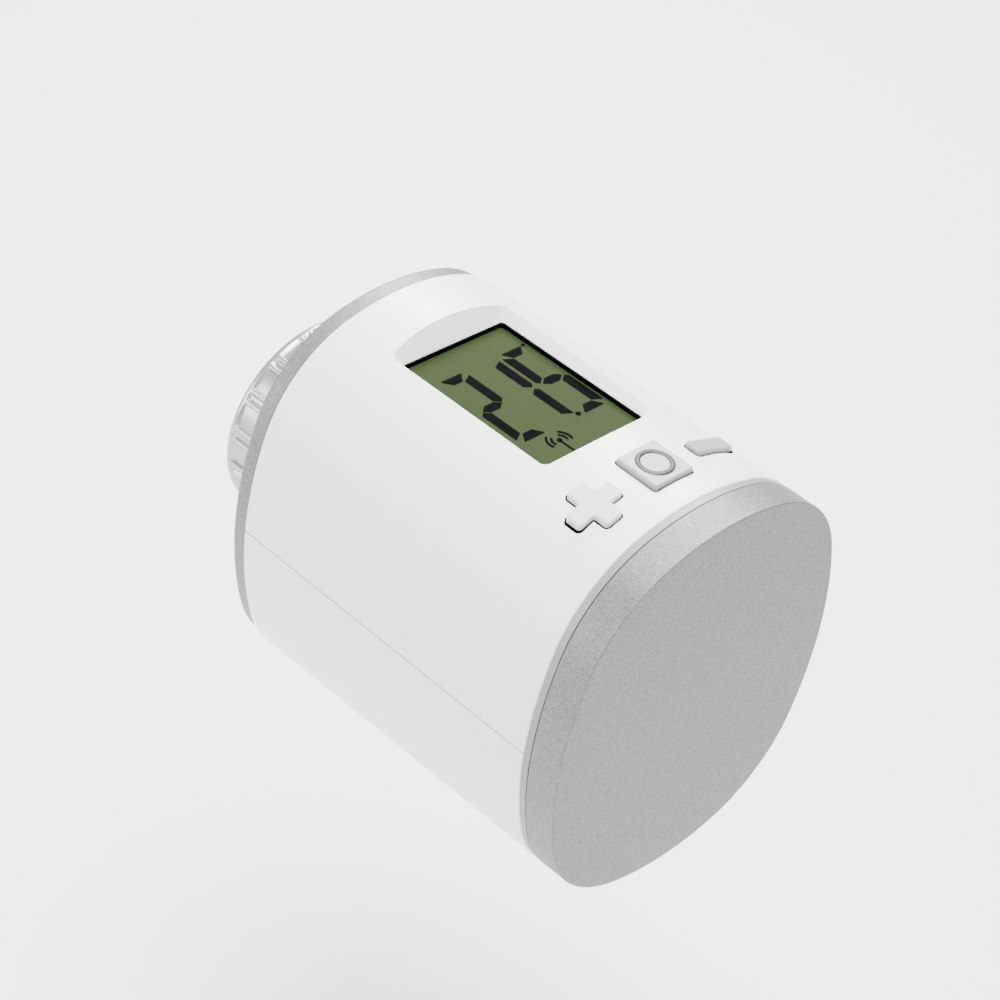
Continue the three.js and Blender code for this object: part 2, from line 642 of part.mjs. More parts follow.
const TRAY_WALL_BOTTOM = -25.0;
const TRAY_WALL_HALF_WIDTH = 15.4;

function chassis() {
  const top = body(WALL + 0.5, TRAY_START, SHELL_END)
    .intersect(block(0, TRAY_END + 1, -40, 40, TRAY_TOP - TRAY_THICKNESS, TRAY_TOP));
  const endWall = (x0) => block(x0, x0 + TRAY_WALL, -TRAY_WALL_HALF_WIDTH, TRAY_WALL_HALF_WIDTH,
    TRAY_WALL_BOTTOM, TRAY_TOP - 0.5);
  const farWall = TRAY_END - TRAY_WALL;
  const shelf = block(farWall - 2, TRAY_END, -TRAY_WALL_HALF_WIDTH, TRAY_WALL_HALF_WIDTH,
    TRAY_TOP - TRAY_THICKNESS, TRAY_TOP);
  const rib = block(TRAY_START + 5, farWall - 5, -0.4, 0.4, BATTERY_Z, TRAY_TOP - 1);
  let tray = top.add(shelf).add(endWall(TRAY_START)).add(endWall(farWall)).add(rib);
  for (const [x, y] of BOARD_SCREWS) {
    tray = tray.add(post(2.2, x, y, TRAY_TOP - 1, BOARD_BOTTOM - GAP));
    tray = tray.subtract(post(SCREW_HOLE, x, y, BOARD_BOTTOM - 9, BOARD_BOTTOM + 1, 12));
  }
  for (const x of [MOTOR_START + 3, MOTOR_END - 5]) {
    tray = tray.add(block(x, x + 1.5, -6, 6, TRAY_TOP - 1, MOTOR_Z - MOTOR_FLAT - GAP));
  }
  return tray;
}

// the plus end carries the nub; direction is +1 when it points to the end cap
function battery(y, x0, direction) {
  const x1 = x0 + BATTERY_LENGTH;
  const plus = direction > 0 ? x1 : x0;
  const shoulder = plus - direction * BATTERY_NUB;
  const can = direction > 0 ? [x0, shoulder] : [shoulder, x1];
  const nub = [Math.min(shoulder - direction, plus), Math.max(shoulder - direction, plus)];
  return rod(BATTERY_RADIUS, ...can, y, BATTERY_Z, 32).add(rod(NUB_RADIUS, ...nub, y, BATTERY_Z, 16));
}

class Coil extends THREE.Curve {
  constructor(x0, x1, y, z) {
    super();
    Object.assign(this, { x0, x1, y, z });
  }

  getPoint(t, target = new THREE.Vector3()) {
    const angle = 2 * Math.PI * SPRING_TURNS * t;
    const radius = THREE.MathUtils.lerp(...SPRING_RADII, t);
    return target.set(this.x0 + (this.x1 - this.x0) * t,
      this.y + radius * Math.cos(angle), this.z + radius * Math.sin(angle));
  }
}

function batterySpring(y, x0, x1) {
  const wire = new THREE.Shape();
  wire.absarc(0, 0, SPRING_WIRE_RADIUS, 0, 2 * Math.PI);
  const options = { steps: 40, extrudePath: new Coil(x0, x1, y, BATTERY_Z), curveSegments: 3 };
  return solid(new THREE.ExtrudeGeometry(wire, options));
}

const NEAR_CONTACT = TRAY_START + TRAY_WALL + GAP;
const FAR_CONTACT = TRAY_END - TRAY_WALL - GAP - CONTACT_THICKNESS;
const NEAR_FACE = NEAR_CONTACT + CONTACT_THICKNESS + GAP;
const FAR_FACE = FAR_CONTACT - GAP;

// a plate behind the cells whose axes lie from y0 to y1
function contactPlate(x0, y0, y1) {
  return block(x0, x0 + CONTACT_THICKNESS, y0 - CONTACT_HALF, y1 + CONTACT_HALF,
    BATTERY_Z - CONTACT_HALF, BATTERY_Z + CONTACT_HALF);
}

add("chassis", chassis(), blackPlastic());
add("battery_1", battery(-BATTERY_Y, FAR_FACE - BATTERY_LENGTH, 1), material(0x2c3a6e, 0.35, 0.3));
add("battery_2", battery(BATTERY_Y, NEAR_FACE, -1), material(0x2c3a6e, 0.35, 0.3));
add("battery_spring_1", batterySpring(-BATTERY_Y, NEAR_FACE + 0.3,
  FAR_FACE - BATTERY_LENGTH - GAP - 0.3), steel());
add("battery_spring_2", batterySpring(BATTERY_Y, FAR_FACE - 0.3,
  NEAR_FACE + BATTERY_LENGTH + GAP + 0.3), steel());
add("contact_plate_1", contactPlate(NEAR_CONTACT, -BATTERY_Y, -BATTERY_Y), steel());
add("contact_plate_2", contactPlate(NEAR_CONTACT, BATTERY_Y, BATTERY_Y), steel());
add("bridge_contact", contactPlate(FAR_CONTACT, -BATTERY_Y, BATTERY_Y), steel());

export default thermostat;
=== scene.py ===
"""Looks of an electronic radiator thermostat head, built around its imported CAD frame.

Everything is in metres in the CAD's own frame: +X runs outwards along the valve axis to the end
cap, +Z points up out of the display, and the origin is the centre of the union nut's open end.
"""

import json
import math

import bmesh
import bpy
from mathutils import Matrix, Vector


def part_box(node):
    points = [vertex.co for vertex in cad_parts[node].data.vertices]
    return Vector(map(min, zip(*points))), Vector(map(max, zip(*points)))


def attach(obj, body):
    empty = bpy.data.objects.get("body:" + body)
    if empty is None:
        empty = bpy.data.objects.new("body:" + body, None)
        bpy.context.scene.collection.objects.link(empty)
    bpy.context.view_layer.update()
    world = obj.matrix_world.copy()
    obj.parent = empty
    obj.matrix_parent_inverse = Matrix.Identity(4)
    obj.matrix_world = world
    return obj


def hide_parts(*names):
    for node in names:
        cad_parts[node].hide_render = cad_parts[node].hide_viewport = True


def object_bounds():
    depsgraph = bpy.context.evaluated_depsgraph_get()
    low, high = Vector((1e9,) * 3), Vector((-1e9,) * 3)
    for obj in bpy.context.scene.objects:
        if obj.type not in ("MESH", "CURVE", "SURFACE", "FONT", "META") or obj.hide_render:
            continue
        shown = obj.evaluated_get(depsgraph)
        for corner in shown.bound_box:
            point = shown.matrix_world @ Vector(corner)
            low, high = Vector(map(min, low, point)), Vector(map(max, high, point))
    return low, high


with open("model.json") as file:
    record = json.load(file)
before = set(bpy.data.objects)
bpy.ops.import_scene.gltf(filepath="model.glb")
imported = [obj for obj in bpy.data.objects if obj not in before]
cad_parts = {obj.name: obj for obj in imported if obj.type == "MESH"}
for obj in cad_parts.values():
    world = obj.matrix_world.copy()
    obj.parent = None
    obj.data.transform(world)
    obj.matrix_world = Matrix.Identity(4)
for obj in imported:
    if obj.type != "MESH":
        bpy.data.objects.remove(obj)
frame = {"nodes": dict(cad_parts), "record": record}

CAD_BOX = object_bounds()
MM = 0.001

# ------------------------------------------------------------------ shape of the body's section
# eight tangent arcs: crown and underside, two flanks, four corners; sizes at the base ring
HALF_WIDTH = 27.4 * MM
HALF_HEIGHT = 32.9 * MM
CROWN_RADIUS = 37.2 * MM
FLANK_RADIUS = 59.0 * MM
CORNER_RADIUS = 21.3 * MM
WIDENING = 0.006                 # gain of the half width for each metre along X
LOWERING = 0.018                 # loss of the half height for each metre along X
WALL = 2.0 * MM
ARC_STEPS = 26

RING_LOW, RING_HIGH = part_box("base_ring")
SHELL_LOW, SHELL_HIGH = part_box("upper_shell")
CAP_LOW, CAP_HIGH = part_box("end_cap")
NUT_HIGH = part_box("union_nut")[1]
LCD_LOW, LCD_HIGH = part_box("lcd_glass")
FRAME_LOW, FRAME_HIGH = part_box("lcd_frame")
COVER_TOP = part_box("battery_cover")[1].z


def width_scale(x):
    return 1 + WIDENING * (x - RING_LOW.x) / HALF_WIDTH


def height_scale(x):
    return 1 - LOWERING * (x - RING_LOW.x) / HALF_HEIGHT


def corner_centre():
    """Centre of the corner arc that touches both the crown and the flank."""
    crown_z = HALF_HEIGHT - CROWN_RADIUS
    flank_y = HALF_WIDTH - FLANK_RADIUS
    crown_reach = CROWN_RADIUS - CORNER_RADIUS
    flank_reach = FLANK_RADIUS - CORNER_RADIUS
    span = math.hypot(crown_z, flank_y)
    along = (crown_reach ** 2 - flank_reach ** 2 + span ** 2) / (2 * span)
    across = math.sqrt(crown_reach ** 2 - along ** 2)
    uy, uz = flank_y / span, -crown_z / span
    return along * uy + across * uz, crown_z + along * uz - across * uy


def arc(cy, cz, radius, start, end):
    """Points of an arc without its last one, which the next arc starts with."""
    turns = [start + (end - start) * i / ARC_STEPS for i in range(ARC_STEPS)]
    return [(cy + radius * math.cos(t), cz + radius * math.sin(t)) for t in turns]


def section(x, inset=0.0):
    """The body's closed outline at station x, inset metres inside the outer surface."""
    crown_z = HALF_HEIGHT - CROWN_RADIUS
    flank_y = HALF_WIDTH - FLANK_RADIUS
    cy, cz = corner_centre()
    top = math.atan2(cz - crown_z, cy)
    side = math.atan2(cz, cy - flank_y)
    crown, flank, corner = (r - inset for r in (CROWN_RADIUS, FLANK_RADIUS, CORNER_RADIUS))
    pi = math.pi
    outline = (
        arc(flank_y, 0, flank, -side, side)
        + arc(cy, cz, corner, side, top)
        + arc(0, crown_z, crown, top, pi - top)
        + arc(-cy, cz, corner, pi - top, pi - side)
        + arc(-flank_y, 0, flank, pi - side, pi + side)
        + arc(-cy, -cz, corner, pi + side, pi + top)
        + arc(0, -crown_z, crown, pi + top, 2 * pi - top)
        + arc(cy, -cz, corner, 2 * pi - top, 2 * pi - side)
    )
    return [Vector((x, y * width_scale(x), z * height_scale(x))) for y, z in outline]


def crown_height(x, y, inset=0.0):
    """Height of the crown's surface, or of one inset metres below it."""
    local = y / width_scale(x)
    rise = math.sqrt((CROWN_RADIUS - inset) ** 2 - local ** 2)
    return (HALF_HEIGHT - CROWN_RADIUS + rise) * height_scale(x)


# ------------------------------------------------------------------ mesh helpers

def new_object(name, bm):
    mesh = bpy.data.meshes.new(name)
    bmesh.ops.recalc_face_normals(bm, faces=bm.faces)
    bm.to_mesh(mesh)
    bm.free()
    obj = bpy.data.objects.new(name, mesh)
    bpy.context.scene.collection.objects.link(obj)
    return obj


def loft(bm, rings, ends=True, closed=False):
    """Skins equal rings of points; ends caps the first and last, closed joins them."""
    rows = [[bm.verts.new(p) for p in ring] for ring in rings]
    count = len(rows[0])
    pairs = list(zip(rows, rows[1:]))
    if closed:
        pairs.append((rows[-1], rows[0]))
    for low, high in pairs:
        for i in range(count):
            j = (i + 1) % count
            bm.faces.new((low[i], low[j], high[j], high[i]))
    if ends and not closed:
        bm.faces.new(rows[0])
        bm.faces.new(rows[-1])


CORNER_STEPS = 6


def rounded_rectangle(cx, cy, half_x, half_y, radius):
    """Closed outline in X and Y with round corners."""
    points = []
    for quadrant, (sx, sy) in enumerate(((1, 1), (-1, 1), (-1, -1), (1, -1))):
        mx, my = cx + sx * (half_x - radius), cy + sy * (half_y - radius)
        for i in range(CORNER_STEPS + 1):
            turn = math.pi / 2 * (quadrant + i / CORNER_STEPS)
            points.append((mx + radius * math.cos(turn), my + radius * math.sin(turn)))
    return points


LEAST_STRETCH = 0.5              # keeps the mitre of a sharp corner short


def offset_outline(points, distance):
    """Moves a counter-clockwise outline outwards by distance."""
    moved = []
    for i, point in enumerate(points):
        before, after = Vector(points[i - 1]), Vector(points[(i + 1) % len(points)])
        here = Vector(point)
        first = (here - before).normalized()
        second = (after - here).normalized()
        tangent = (first + second).normalized()
        normal = Vector((tangent.y, -tangent.x))
        stretch = max(LEAST_STRETCH, normal.dot(Vector((first.y, -first.x))))
        moved.append(tuple(here + normal * distance / stretch))
    return moved


def prism(name, outline, z0, z1):
    """An upright solid from an outline in X and Y."""
    bm = bmesh.new()
    loft(bm, [[Vector((x, y, z)) for x, y in outline] for z in (z0, z1)])
    return new_object(name, bm)


def boolean(obj, other, operation):
    """Joins the other solid to the object or cuts it out, and removes it."""
    modifier = obj.modifiers.new("cut", "BOOLEAN")
    modifier.operation = operation
    modifier.object = other
    modifier.solver = "EXACT"
    bake(obj)
    bpy.data.objects.remove(other)


def bake(obj):
    """Applies the object's modifiers to its mesh."""
    bpy.context.view_layer.update()
    graph = bpy.context.evaluated_depsgraph_get()
    mesh = bpy.data.meshes.new_from_object(obj.evaluated_get(graph))
    obj.modifiers.clear()
    obj.data = mesh


SHARP_ANGLE = 32.0


def round_edges(obj, width, angle, segments=2):
    """Bevels the edges that are sharper than the angle."""
    bevel = obj.modifiers.new("edges", "BEVEL")
    bevel.width = width
    bevel.segments = segments
    bevel.limit_method = "ANGLE"
    bevel.angle_limit = math.radians(angle)
    bake(obj)


def soften(obj, width, segments=2):
    """Rounds the sharp edges and smooths the rest."""
    round_edges(obj, width, SHARP_ANGLE, segments)
    return smooth(obj)


def smooth(obj, angle=SHARP_ANGLE):
    """Smooth shading, except across edges sharper than the angle."""
    mesh = obj.data
    bm = bmesh.new()
    bm.from_mesh(mesh)
    limit = math.radians(angle)
    for face in bm.faces:
        face.smooth = True
    for edge in bm.edges:
        edge.smooth = len(edge.link_faces) == 2 and edge.calc_face_angle(0) < limit
    bm.to_mesh(mesh)
    bm.free()
    weighted = obj.modifiers.new("normals", "WEIGHTED_NORMAL")
    weighted.keep_sharp = True
    return obj


def finish_piece(obj, body, slot, material, *replaced):
    """Gives a piece its material and its body, and hides the CAD nodes it stands for; slot is not
    used.
    """
    obj.data.materials.clear()
    obj.data.materials.append(material)
    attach(obj, body)
    if replaced:
        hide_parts(*replaced)


# ------------------------------------------------------------------ materials

class Nodes:
    """A node tree around one Principled shader, with object coordinates in metres."""

    def __init__(self, name, color, roughness, metallic=0.0):
        self.material = bpy.data.materials.new(name)
        self.material.use_nodes = True
        self.tree = self.material.node_tree
        self.shader = self.tree.nodes["Principled BSDF"]
        self.shader.inputs["Base Color"].default_value = (*color, 1)
        self.shader.inputs["Roughness"].default_value = roughness
        self.shader.inputs["Metallic"].default_value = metallic
        self.coordinates = self.tree.nodes.new("ShaderNodeTexCoord").outputs["Object"]
        self.height = None

    def link(self, source, target):
        self.tree.links.new(source, target)

    def noise(self, scale, detail=3.0, roughness=0.55, stretch=None):
        node = self.tree.nodes.new("ShaderNodeTexNoise")
        node.inputs["Scale"].default_value = scale
        node.inputs["Detail"].default_value = detail
        node.inputs["Roughness"].default_value = roughness
        self.link(self.stretched(stretch), node.inputs["Vector"])
        return node.outputs["Fac"]

    def stretched(self, stretch):
        if stretch is None:
            return self.coordinates
        node = self.tree.nodes.new("ShaderNodeMapping")
        node.inputs["Scale"].default_value = stretch
        self.link(self.coordinates, node.inputs["Vector"])
        return node.outputs["Vector"]

    def cells(self, scale):
        node = self.tree.nodes.new("ShaderNodeTexVoronoi")
        node.inputs["Scale"].default_value = scale
        self.link(self.coordinates, node.inputs["Vector"])
        return node.outputs["Color"]

    def ramp(self, value, stops):
        node = self.tree.nodes.new("ShaderNodeValToRGB")
        elements = node.color_ramp.elements
        while len(elements) < len(stops):
            elements.new(0.5)
        for element, (place, color) in zip(elements, stops):
            element.position = place
            element.color = (*color, 1)
        self.link(value, node.inputs["Fac"])
        return node.outputs["Color"]

    def span(self, value, low, high):
        node = self.tree.nodes.new("ShaderNodeMapRange")
        node.inputs["To Min"].default_value = low
        node.inputs["To Max"].default_value = high
        self.link(value, node.inputs["Value"])
        return node.outputs["Result"]

    def bump(self, value, distance, strength=1.0):
        node = self.tree.nodes.new("ShaderNodeBump")
        node.inputs["Strength"].default_value = strength
        node.inputs["Distance"].default_value = distance
        self.link(value, node.inputs["Height"])
        if self.height is not None:
            self.link(self.height, node.inputs["Normal"])
        self.height = node.outputs["Normal"]
        self.link(self.height, self.shader.inputs["Normal"])

    def color(self, output):
        self.link(output, self.shader.inputs["Base Color"])

    def roughness(self, output):
        self.link(output, self.shader.inputs["Roughness"])


def tinted(color, factor):
    return tuple(min(1.0, c * factor) for c in color)


def plastic(name, color, roughness, grain=2600, depth=0.000004, spread=0.03):
    """Moulded plastic: fine spark-eroded grain, slightly uneven gloss and shade."""
    nodes = Nodes(name, color, roughness)
    fine = nodes.noise(grain, 2.0)
    broad = nodes.noise(42, 3.0)
    nodes.color(nodes.ramp(broad, [
        (0.3, tinted(color, 1 - spread)), (0.7, tinted(color, 1 + spread))]))
    nodes.roughness(nodes.span(nodes.noise(160, 4.0), roughness - 0.06, roughness + 0.07))
    nodes.bump(fine, depth)
    return nodes.material


def metal(name, color, roughness, stretch=None, scale=900, depth=0.000003):
    """Bare metal with brushed or turned marks and patches of different gloss."""
    nodes = Nodes(name, color, roughness, 1.0)
    marks = nodes.noise(scale, 4.0, 0.6, stretch)
    patches = nodes.noise(110, 4.0)
    nodes.color(nodes.ramp(patches, [(0.3, tinted(color, 0.88)), (0.7, tinted(color, 1.08))]))
    nodes.roughness(nodes.span(marks, roughness - 0.08, roughness + 0.14))
    nodes.bump(marks, depth)
    return nodes.material


def white_shell_material():
    """The shells' plastic, with a faint satin gloss over its grain."""
    material = plastic("white shell", (0.83, 0.83, 0.825), 0.38, 3600, 0.000003, 0.006)
    inputs = material.node_tree.nodes["Principled BSDF"].inputs
    inputs["Coat Weight"].default_value = 0.12
    inputs["Coat Roughness"].default_value = 0.25
    return material


def silver_paint_material():
    """Metallic paint: flakes of different brightness under a satin lacquer."""
    nodes = Nodes("silver paint", (0.140, 0.140, 0.142), 0.45, 0.35)
    flakes = nodes.cells(5200)
    nodes.color(nodes.ramp(flakes, [
        (0.2, (0.110, 0.110, 0.112)), (0.5, (0.140, 0.140, 0.142)), (0.8, (0.185, 0.185, 0.187))]))
    nodes.roughness(nodes.span(nodes.cells(6100), 0.40, 0.56))
    nodes.bump(nodes.noise(6000, 2.0), 0.00001, 0.6)
    return nodes.material


def nut_material():
    """Satin plated metal with patches of different gloss."""
    nodes = Nodes("nut finish", (0.31, 0.31, 0.315), 0.26, 0.7)
    nodes.roughness(nodes.span(nodes.noise(260, 4.0), 0.2, 0.36))
    nodes.color(nodes.ramp(nodes.noise(90, 3.0), [
        (0.3, (0.33, 0.33, 0.335)), (0.7, (0.39, 0.39, 0.395))]))
    nodes.bump(nodes.noise(1800, 2.0), 0.000004)
    return nodes.material


DISPLAY_GLOSS = 0.01             # specular level: the display shows hardly any reflections


def lcd_material():
    """Reflective display: grey-green polariser with a faint pearly grain."""
    nodes = Nodes("display field", (0.023, 0.033, 0.012), 0.5)
    nodes.shader.inputs["Specular IOR Level"].default_value = DISPLAY_GLOSS
    nodes.color(nodes.ramp(nodes.noise(2400, 2.0), [
        (0.3, (0.0215, 0.031, 0.0112)), (0.7, (0.0245, 0.035, 0.0128))]))
    nodes.roughness(nodes.span(nodes.noise(300, 3.0), 0.45, 0.56))
    nodes.bump(nodes.noise(4000, 2.0), 0.000001)
    return nodes.material


def dark_material(name, color):
    """Matt black of the figures' print, and of the rim round the display and the collars round the
    keys, which paint the shade there; the rim is in part the display's black border.
    """
    nodes = Nodes(name, color, 0.6)
    nodes.shader.inputs["Specular IOR Level"].default_value = DISPLAY_GLOSS
    nodes.color(nodes.ramp(nodes.noise(900, 2.0), [
        (0.3, tinted(color, 0.75)), (0.7, tinted(color, 1.25))]))
    nodes.roughness(nodes.span(nodes.noise(300, 3.0), 0.55, 0.68))
    return nodes.material


def board_material():
    """Solder mask over copper: traces show as slightly paler lanes."""
    nodes = Nodes("solder mask", (0.03, 0.16, 0.06), 0.35)
    lanes = nodes.tree.nodes.new("ShaderNodeTexWave")
    lanes.inputs["Scale"].default_value = 420
    lanes.inputs["Distortion"].default_value = 3.0
    lanes.inputs["Detail Scale"].default_value = 0.6
    nodes.link(nodes.coordinates, lanes.inputs["Vector"])
    nodes.color(nodes.ramp(lanes.outputs["Fac"], [
        (0.45, (0.014, 0.085, 0.030)), (0.55, (0.020, 0.115, 0.042))]))
    nodes.roughness(nodes.span(nodes.noise(300, 3.0), 0.28, 0.42))
    nodes.bump(lanes.outputs["Fac"], 0.00002, 0.5)
    return nodes.material


def battery_material():
    """A plain printed sleeve: dark body with a paler shoulder band."""
    nodes = Nodes("battery sleeve", (0.03, 0.05, 0.16), 0.3, 0.35)
    axis = nodes.tree.nodes.new("ShaderNodeSeparateXYZ")
    nodes.link(nodes.coordinates, axis.inputs["Vector"])
    place = nodes.tree.nodes.new("ShaderNodeMapRange")
    place.inputs["From Min"].default_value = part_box("battery_1")[0].x
    place.inputs["From Max"].default_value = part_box("battery_1")[1].x
    nodes.link(axis.outputs["X"], place.inputs["Value"])
    nodes.color(nodes.ramp(place.outputs["Result"], [
        (0.0, (0.03, 0.05, 0.16)), (0.30, (0.03, 0.05, 0.16)),
        (0.31, (0.42, 0.43, 0.45)), (0.34, (0.42, 0.43, 0.45)), (0.35, (0.035, 0.06, 0.19))]))
    nodes.roughness(nodes.span(nodes.noise(220, 4.0), 0.22, 0.4))
    nodes.bump(nodes.noise(500, 3.0), 0.00001, 0.4)
    return nodes.material


TURNED = (1.0, 0.05, 0.05)
BRUSHED = (0.06, 1.0, 1.0)
MATERIALS = {
    "white_shell": white_shell_material(),
    "silver_paint": silver_paint_material(),
    "lip": plastic("cap lip", (0.20, 0.202, 0.205), 0.4, 3600, 0.000003),
    "nut_metal": nut_material(),
    "grey_plastic": plastic("grey glass filled plastic", (0.27, 0.28, 0.29), 0.6, 1500, 0.00001),
    "black_plastic": plastic("black plastic", (0.018, 0.019, 0.02), 0.5, 1800, 0.000008, 0.15),
    "chip_black": plastic("moulded epoxy", (0.022, 0.022, 0.024), 0.55, 3200, 0.00001, 0.15),
    "elastomer": plastic("layered elastomer", (0.05, 0.052, 0.055), 0.75, 2600, 0.00001, 0.2),
    "stem_plastic": plastic("switch stem", (0.22, 0.07, 0.025), 0.45),
    "gear_plastic": plastic("acetal", (0.72, 0.68, 0.56), 0.42, 1500, 0.000005, 0.04),
    "pale_button": plastic("pale key", (0.60, 0.604, 0.608), 0.36, 3600, 0.000003, 0.01),
    "grey_button": plastic("grey key", (0.275, 0.278, 0.281), 0.40, 3600, 0.000003, 0.02),
    "button_print": plastic("key print", (0.02, 0.02, 0.021), 0.5),
    "spring_steel": metal("spring steel", (0.62, 0.63, 0.65), 0.26, BRUSHED),
    "screw_steel": metal("zinc plated steel", (0.55, 0.56, 0.58), 0.32, TURNED),
    "tin_shield": metal("tin plate", (0.60, 0.61, 0.62), 0.30, BRUSHED, 600),
    "motor_can": metal("motor can", (0.52, 0.53, 0.55), 0.30, BRUSHED, 700),
    "brass": metal("turned brass", (0.70, 0.50, 0.20), 0.26, TURNED, 1400),
    "lcd": lcd_material(),
    "segments": dark_material("display figures", (0.0006, 0.0008, 0.0012)),
    # painted shade, partly the display's black border: the black of the display rim and the key
    # collars
    "black_rim_and_painted_shade": dark_material("black rim and painted shade", (0.0015, 0.0015, 0.0015)),
    "solder_mask": board_material(),
    "battery_label": battery_material(),
}

# ------------------------------------------------------------------ camera, light and floor

CAMERA_PLACE = (0.2499, -0.2462, 0.2547)
CAMERA_RIGHT = (0.6930, 0.7102, 0.1242)
CAMERA_FORWARD = (-0.5138, 0.6073, -0.6059)
CAMERA_LENS = 99.5               # in millimetres, like the sensor's width
SENSOR_WIDTH = 36
CLIP_START = 0.01


def make_camera():
    """The camera at the photo's place and angle."""
    camera = bpy.data.cameras.new("camera")
    camera.lens = CAMERA_LENS
    camera.sensor_width = SENSOR_WIDTH
    camera.clip_start = CLIP_START
    obj = bpy.data.objects.new("camera", camera)
    right = Vector(CAMERA_RIGHT).normalized()
    backward = -Vector(CAMERA_FORWARD).normalized()
    up = backward.cross(right)
    turn = Matrix((right, up, backward)).transposed().to_4x4()
    obj.matrix_world = Matrix.Translation(CAMERA_PLACE) @ turn
    bpy.context.scene.collection.objects.link(obj)
    bpy.context.scene.camera = obj


def area_light(name, place, size, power):
    """A round lamp aimed at the middle of the part."""
    light = bpy.data.lights.new(name, "AREA")
    light.shape = "DISK"
    light.size = size
    light.energy = power
    obj = bpy.data.objects.new(name, light)
    aim = (CAD_BOX[0] + CAD_BOX[1]) / 2 - Vector(place)
    turn = aim.to_track_quat("-Z", "Y").to_matrix().to_4x4()
    obj.matrix_world = Matrix.Translation(place) @ turn
    bpy.context.scene.collection.objects.link(obj)


SKY_LOW, SKY_HIGH = 0.50, 0.92   # light from the horizon and from overhead
LAMPS = (                        # name, place, diameter, watts
    ("overhead", (0.05, -0.02, 0.80), 0.5, 22.0),
    ("back", (-0.32, 0.42, 0.48), 0.25, 11.0),
    ("side", (-0.35, -0.65, 0.25), 0.5, 6.0),
    ("front", (0.75, -0.10, 0.10), 0.5, 2.0),
)
FLOOR_Z = -0.12
FLOOR_SIZE = 6.0


def make_world():
    """Even light from all round, brighter from above."""
    world = bpy.data.worlds.new("studio")
    world.use_nodes = True
    nodes, links = world.node_tree.nodes, world.node_tree.links
    background = nodes["Background"]
    background.inputs["Strength"].default_value = 1.0
    direction = nodes.new("ShaderNodeTexCoord")
    axis = nodes.new("ShaderNodeSeparateXYZ")
    fade = nodes.new("ShaderNodeValToRGB")
    for element, level in zip(fade.color_ramp.elements, (SKY_LOW, SKY_HIGH)):
        element.color = (level, level, level, 1)
    links.new(direction.outputs["Generated"], axis.inputs["Vector"])
    links.new(axis.outputs["Z"], fade.inputs["Fac"])
    links.new(fade.outputs["Color"], background.inputs["Color"])
    bpy.context.scene.world = world


def make_floor():
    bm = bmesh.new()
    bmesh.ops.create_grid(bm, x_segments=1, y_segments=1, size=FLOOR_SIZE / 2)
    bmesh.ops.translate(bm, verts=bm.verts, vec=(0, 0, FLOOR_Z))
    floor = new_object("floor", bm)
    nodes = Nodes("pale floor", (0.93, 0.93, 0.93), 0.8)
    nodes.color(nodes.ramp(nodes.noise(4, 2.0), [
        (0.3, (0.925, 0.925, 0.925)), (0.7, (0.935, 0.935, 0.935))]))
    floor.data.materials.append(nodes.material)


# ------------------------------------------------------------------ shells

EDGE = 0.35 * MM                 # of the tube's two ends
EDGE_STEPS = 4
CUT_EDGE = 0.16 * MM             # of the seam, the display opening and the key holes
CUT_STEPS = 3


def edge_rings(x, direction, radius, inset=0.0):
    """Rings of a rounded outer edge: from the end face (first) to the full section (last)."""
    rings = []
    for i in range(EDGE_STEPS + 1):
        turn = math.pi / 2 * i / EDGE_STEPS
        rings.append(section(x + direction * radius * (1 - math.cos(turn)),
                             inset + radius * (1 - math.sin(turn))))
    return rings


def shell_tube():
    """The white body before it is parted: a round-edged tube with walls."""
    bm = bmesh.new()
    x0, x1 = SHELL_LOW.x, SHELL_HIGH.x
    outer = edge_rings(x0, 1, EDGE) + edge_rings(x1, -1, EDGE)[::-1]
    inner = [section(x1, WALL), section(x0, WALL)]
    loft(bm, outer + inner, closed=True)
    return bm


def half_shell(name, keep):
    """The part of the tube above (keep 1) or below (keep -1) the seam."""
    bm = shell_tube()
    plane = Vector((0, 0, SHELL_LOW.z if keep > 0 else COVER_TOP))
    cut = bmesh.ops.bisect_plane(
        bm, geom=bm.verts[:] + bm.edges[:] + bm.faces[:], plane_co=plane,
        plane_no=(0, 0, -keep), clear_outer=True)
    rim = [e for e in cut["geom_cut"] if isinstance(e, bmesh.types.BMEdge)]
    bmesh.ops.holes_fill(bm, edges=rim, sides=0)
    return new_object(name, bm)


# display opening in the crown
FRAME_MARGIN = 2.2 * MM
OPENING_START = FRAME_LOW.x + FRAME_MARGIN
OPENING_END = FRAME_HIGH.x - FRAME_MARGIN
OPENING_HALF = FRAME_HIGH.y - FRAME_MARGIN
OPENING_Z = 29.2 * MM
OPENING_CORNER = 0.7 * MM
FLARE_START, FLARE_END, FLARE_SIDE = 1.0 * MM, 1.3 * MM, 1.3 * MM
FLARE_RISE = 1.67 * MM
FLARE_CORNER = 0.5 * MM
FLARE_LEVELS = 4                 # the last one stands clear above the crown
SURROUND_REACH = 0.7 * MM        # of the thickened crown past the display frame
SURROUND_STEPS = 24
BAY_GAP = 0.3 * MM
BAY_TOP = FRAME_HIGH.z + BAY_GAP
BAY_BOTTOM = 15 * MM
CUT_BELOW, CUT_ABOVE = 2 * MM, 0.5 * MM
HOLE_BOTTOM, HOLE_TOP = 20 * MM, 40 * MM


def opening_outline(grow=0.0, shrink=0.0):
    """The display opening; grow follows the flare, shrink moves every side inwards."""
    x0 = OPENING_START - FLARE_START * grow + shrink
    x1 = OPENING_END + FLARE_END * grow - shrink
    half = OPENING_HALF + FLARE_SIDE * grow - shrink
    corner = OPENING_CORNER + FLARE_CORNER * grow
    return rounded_rectangle((x0 + x1) / 2, 0, (x1 - x0) / 2, half, corner)


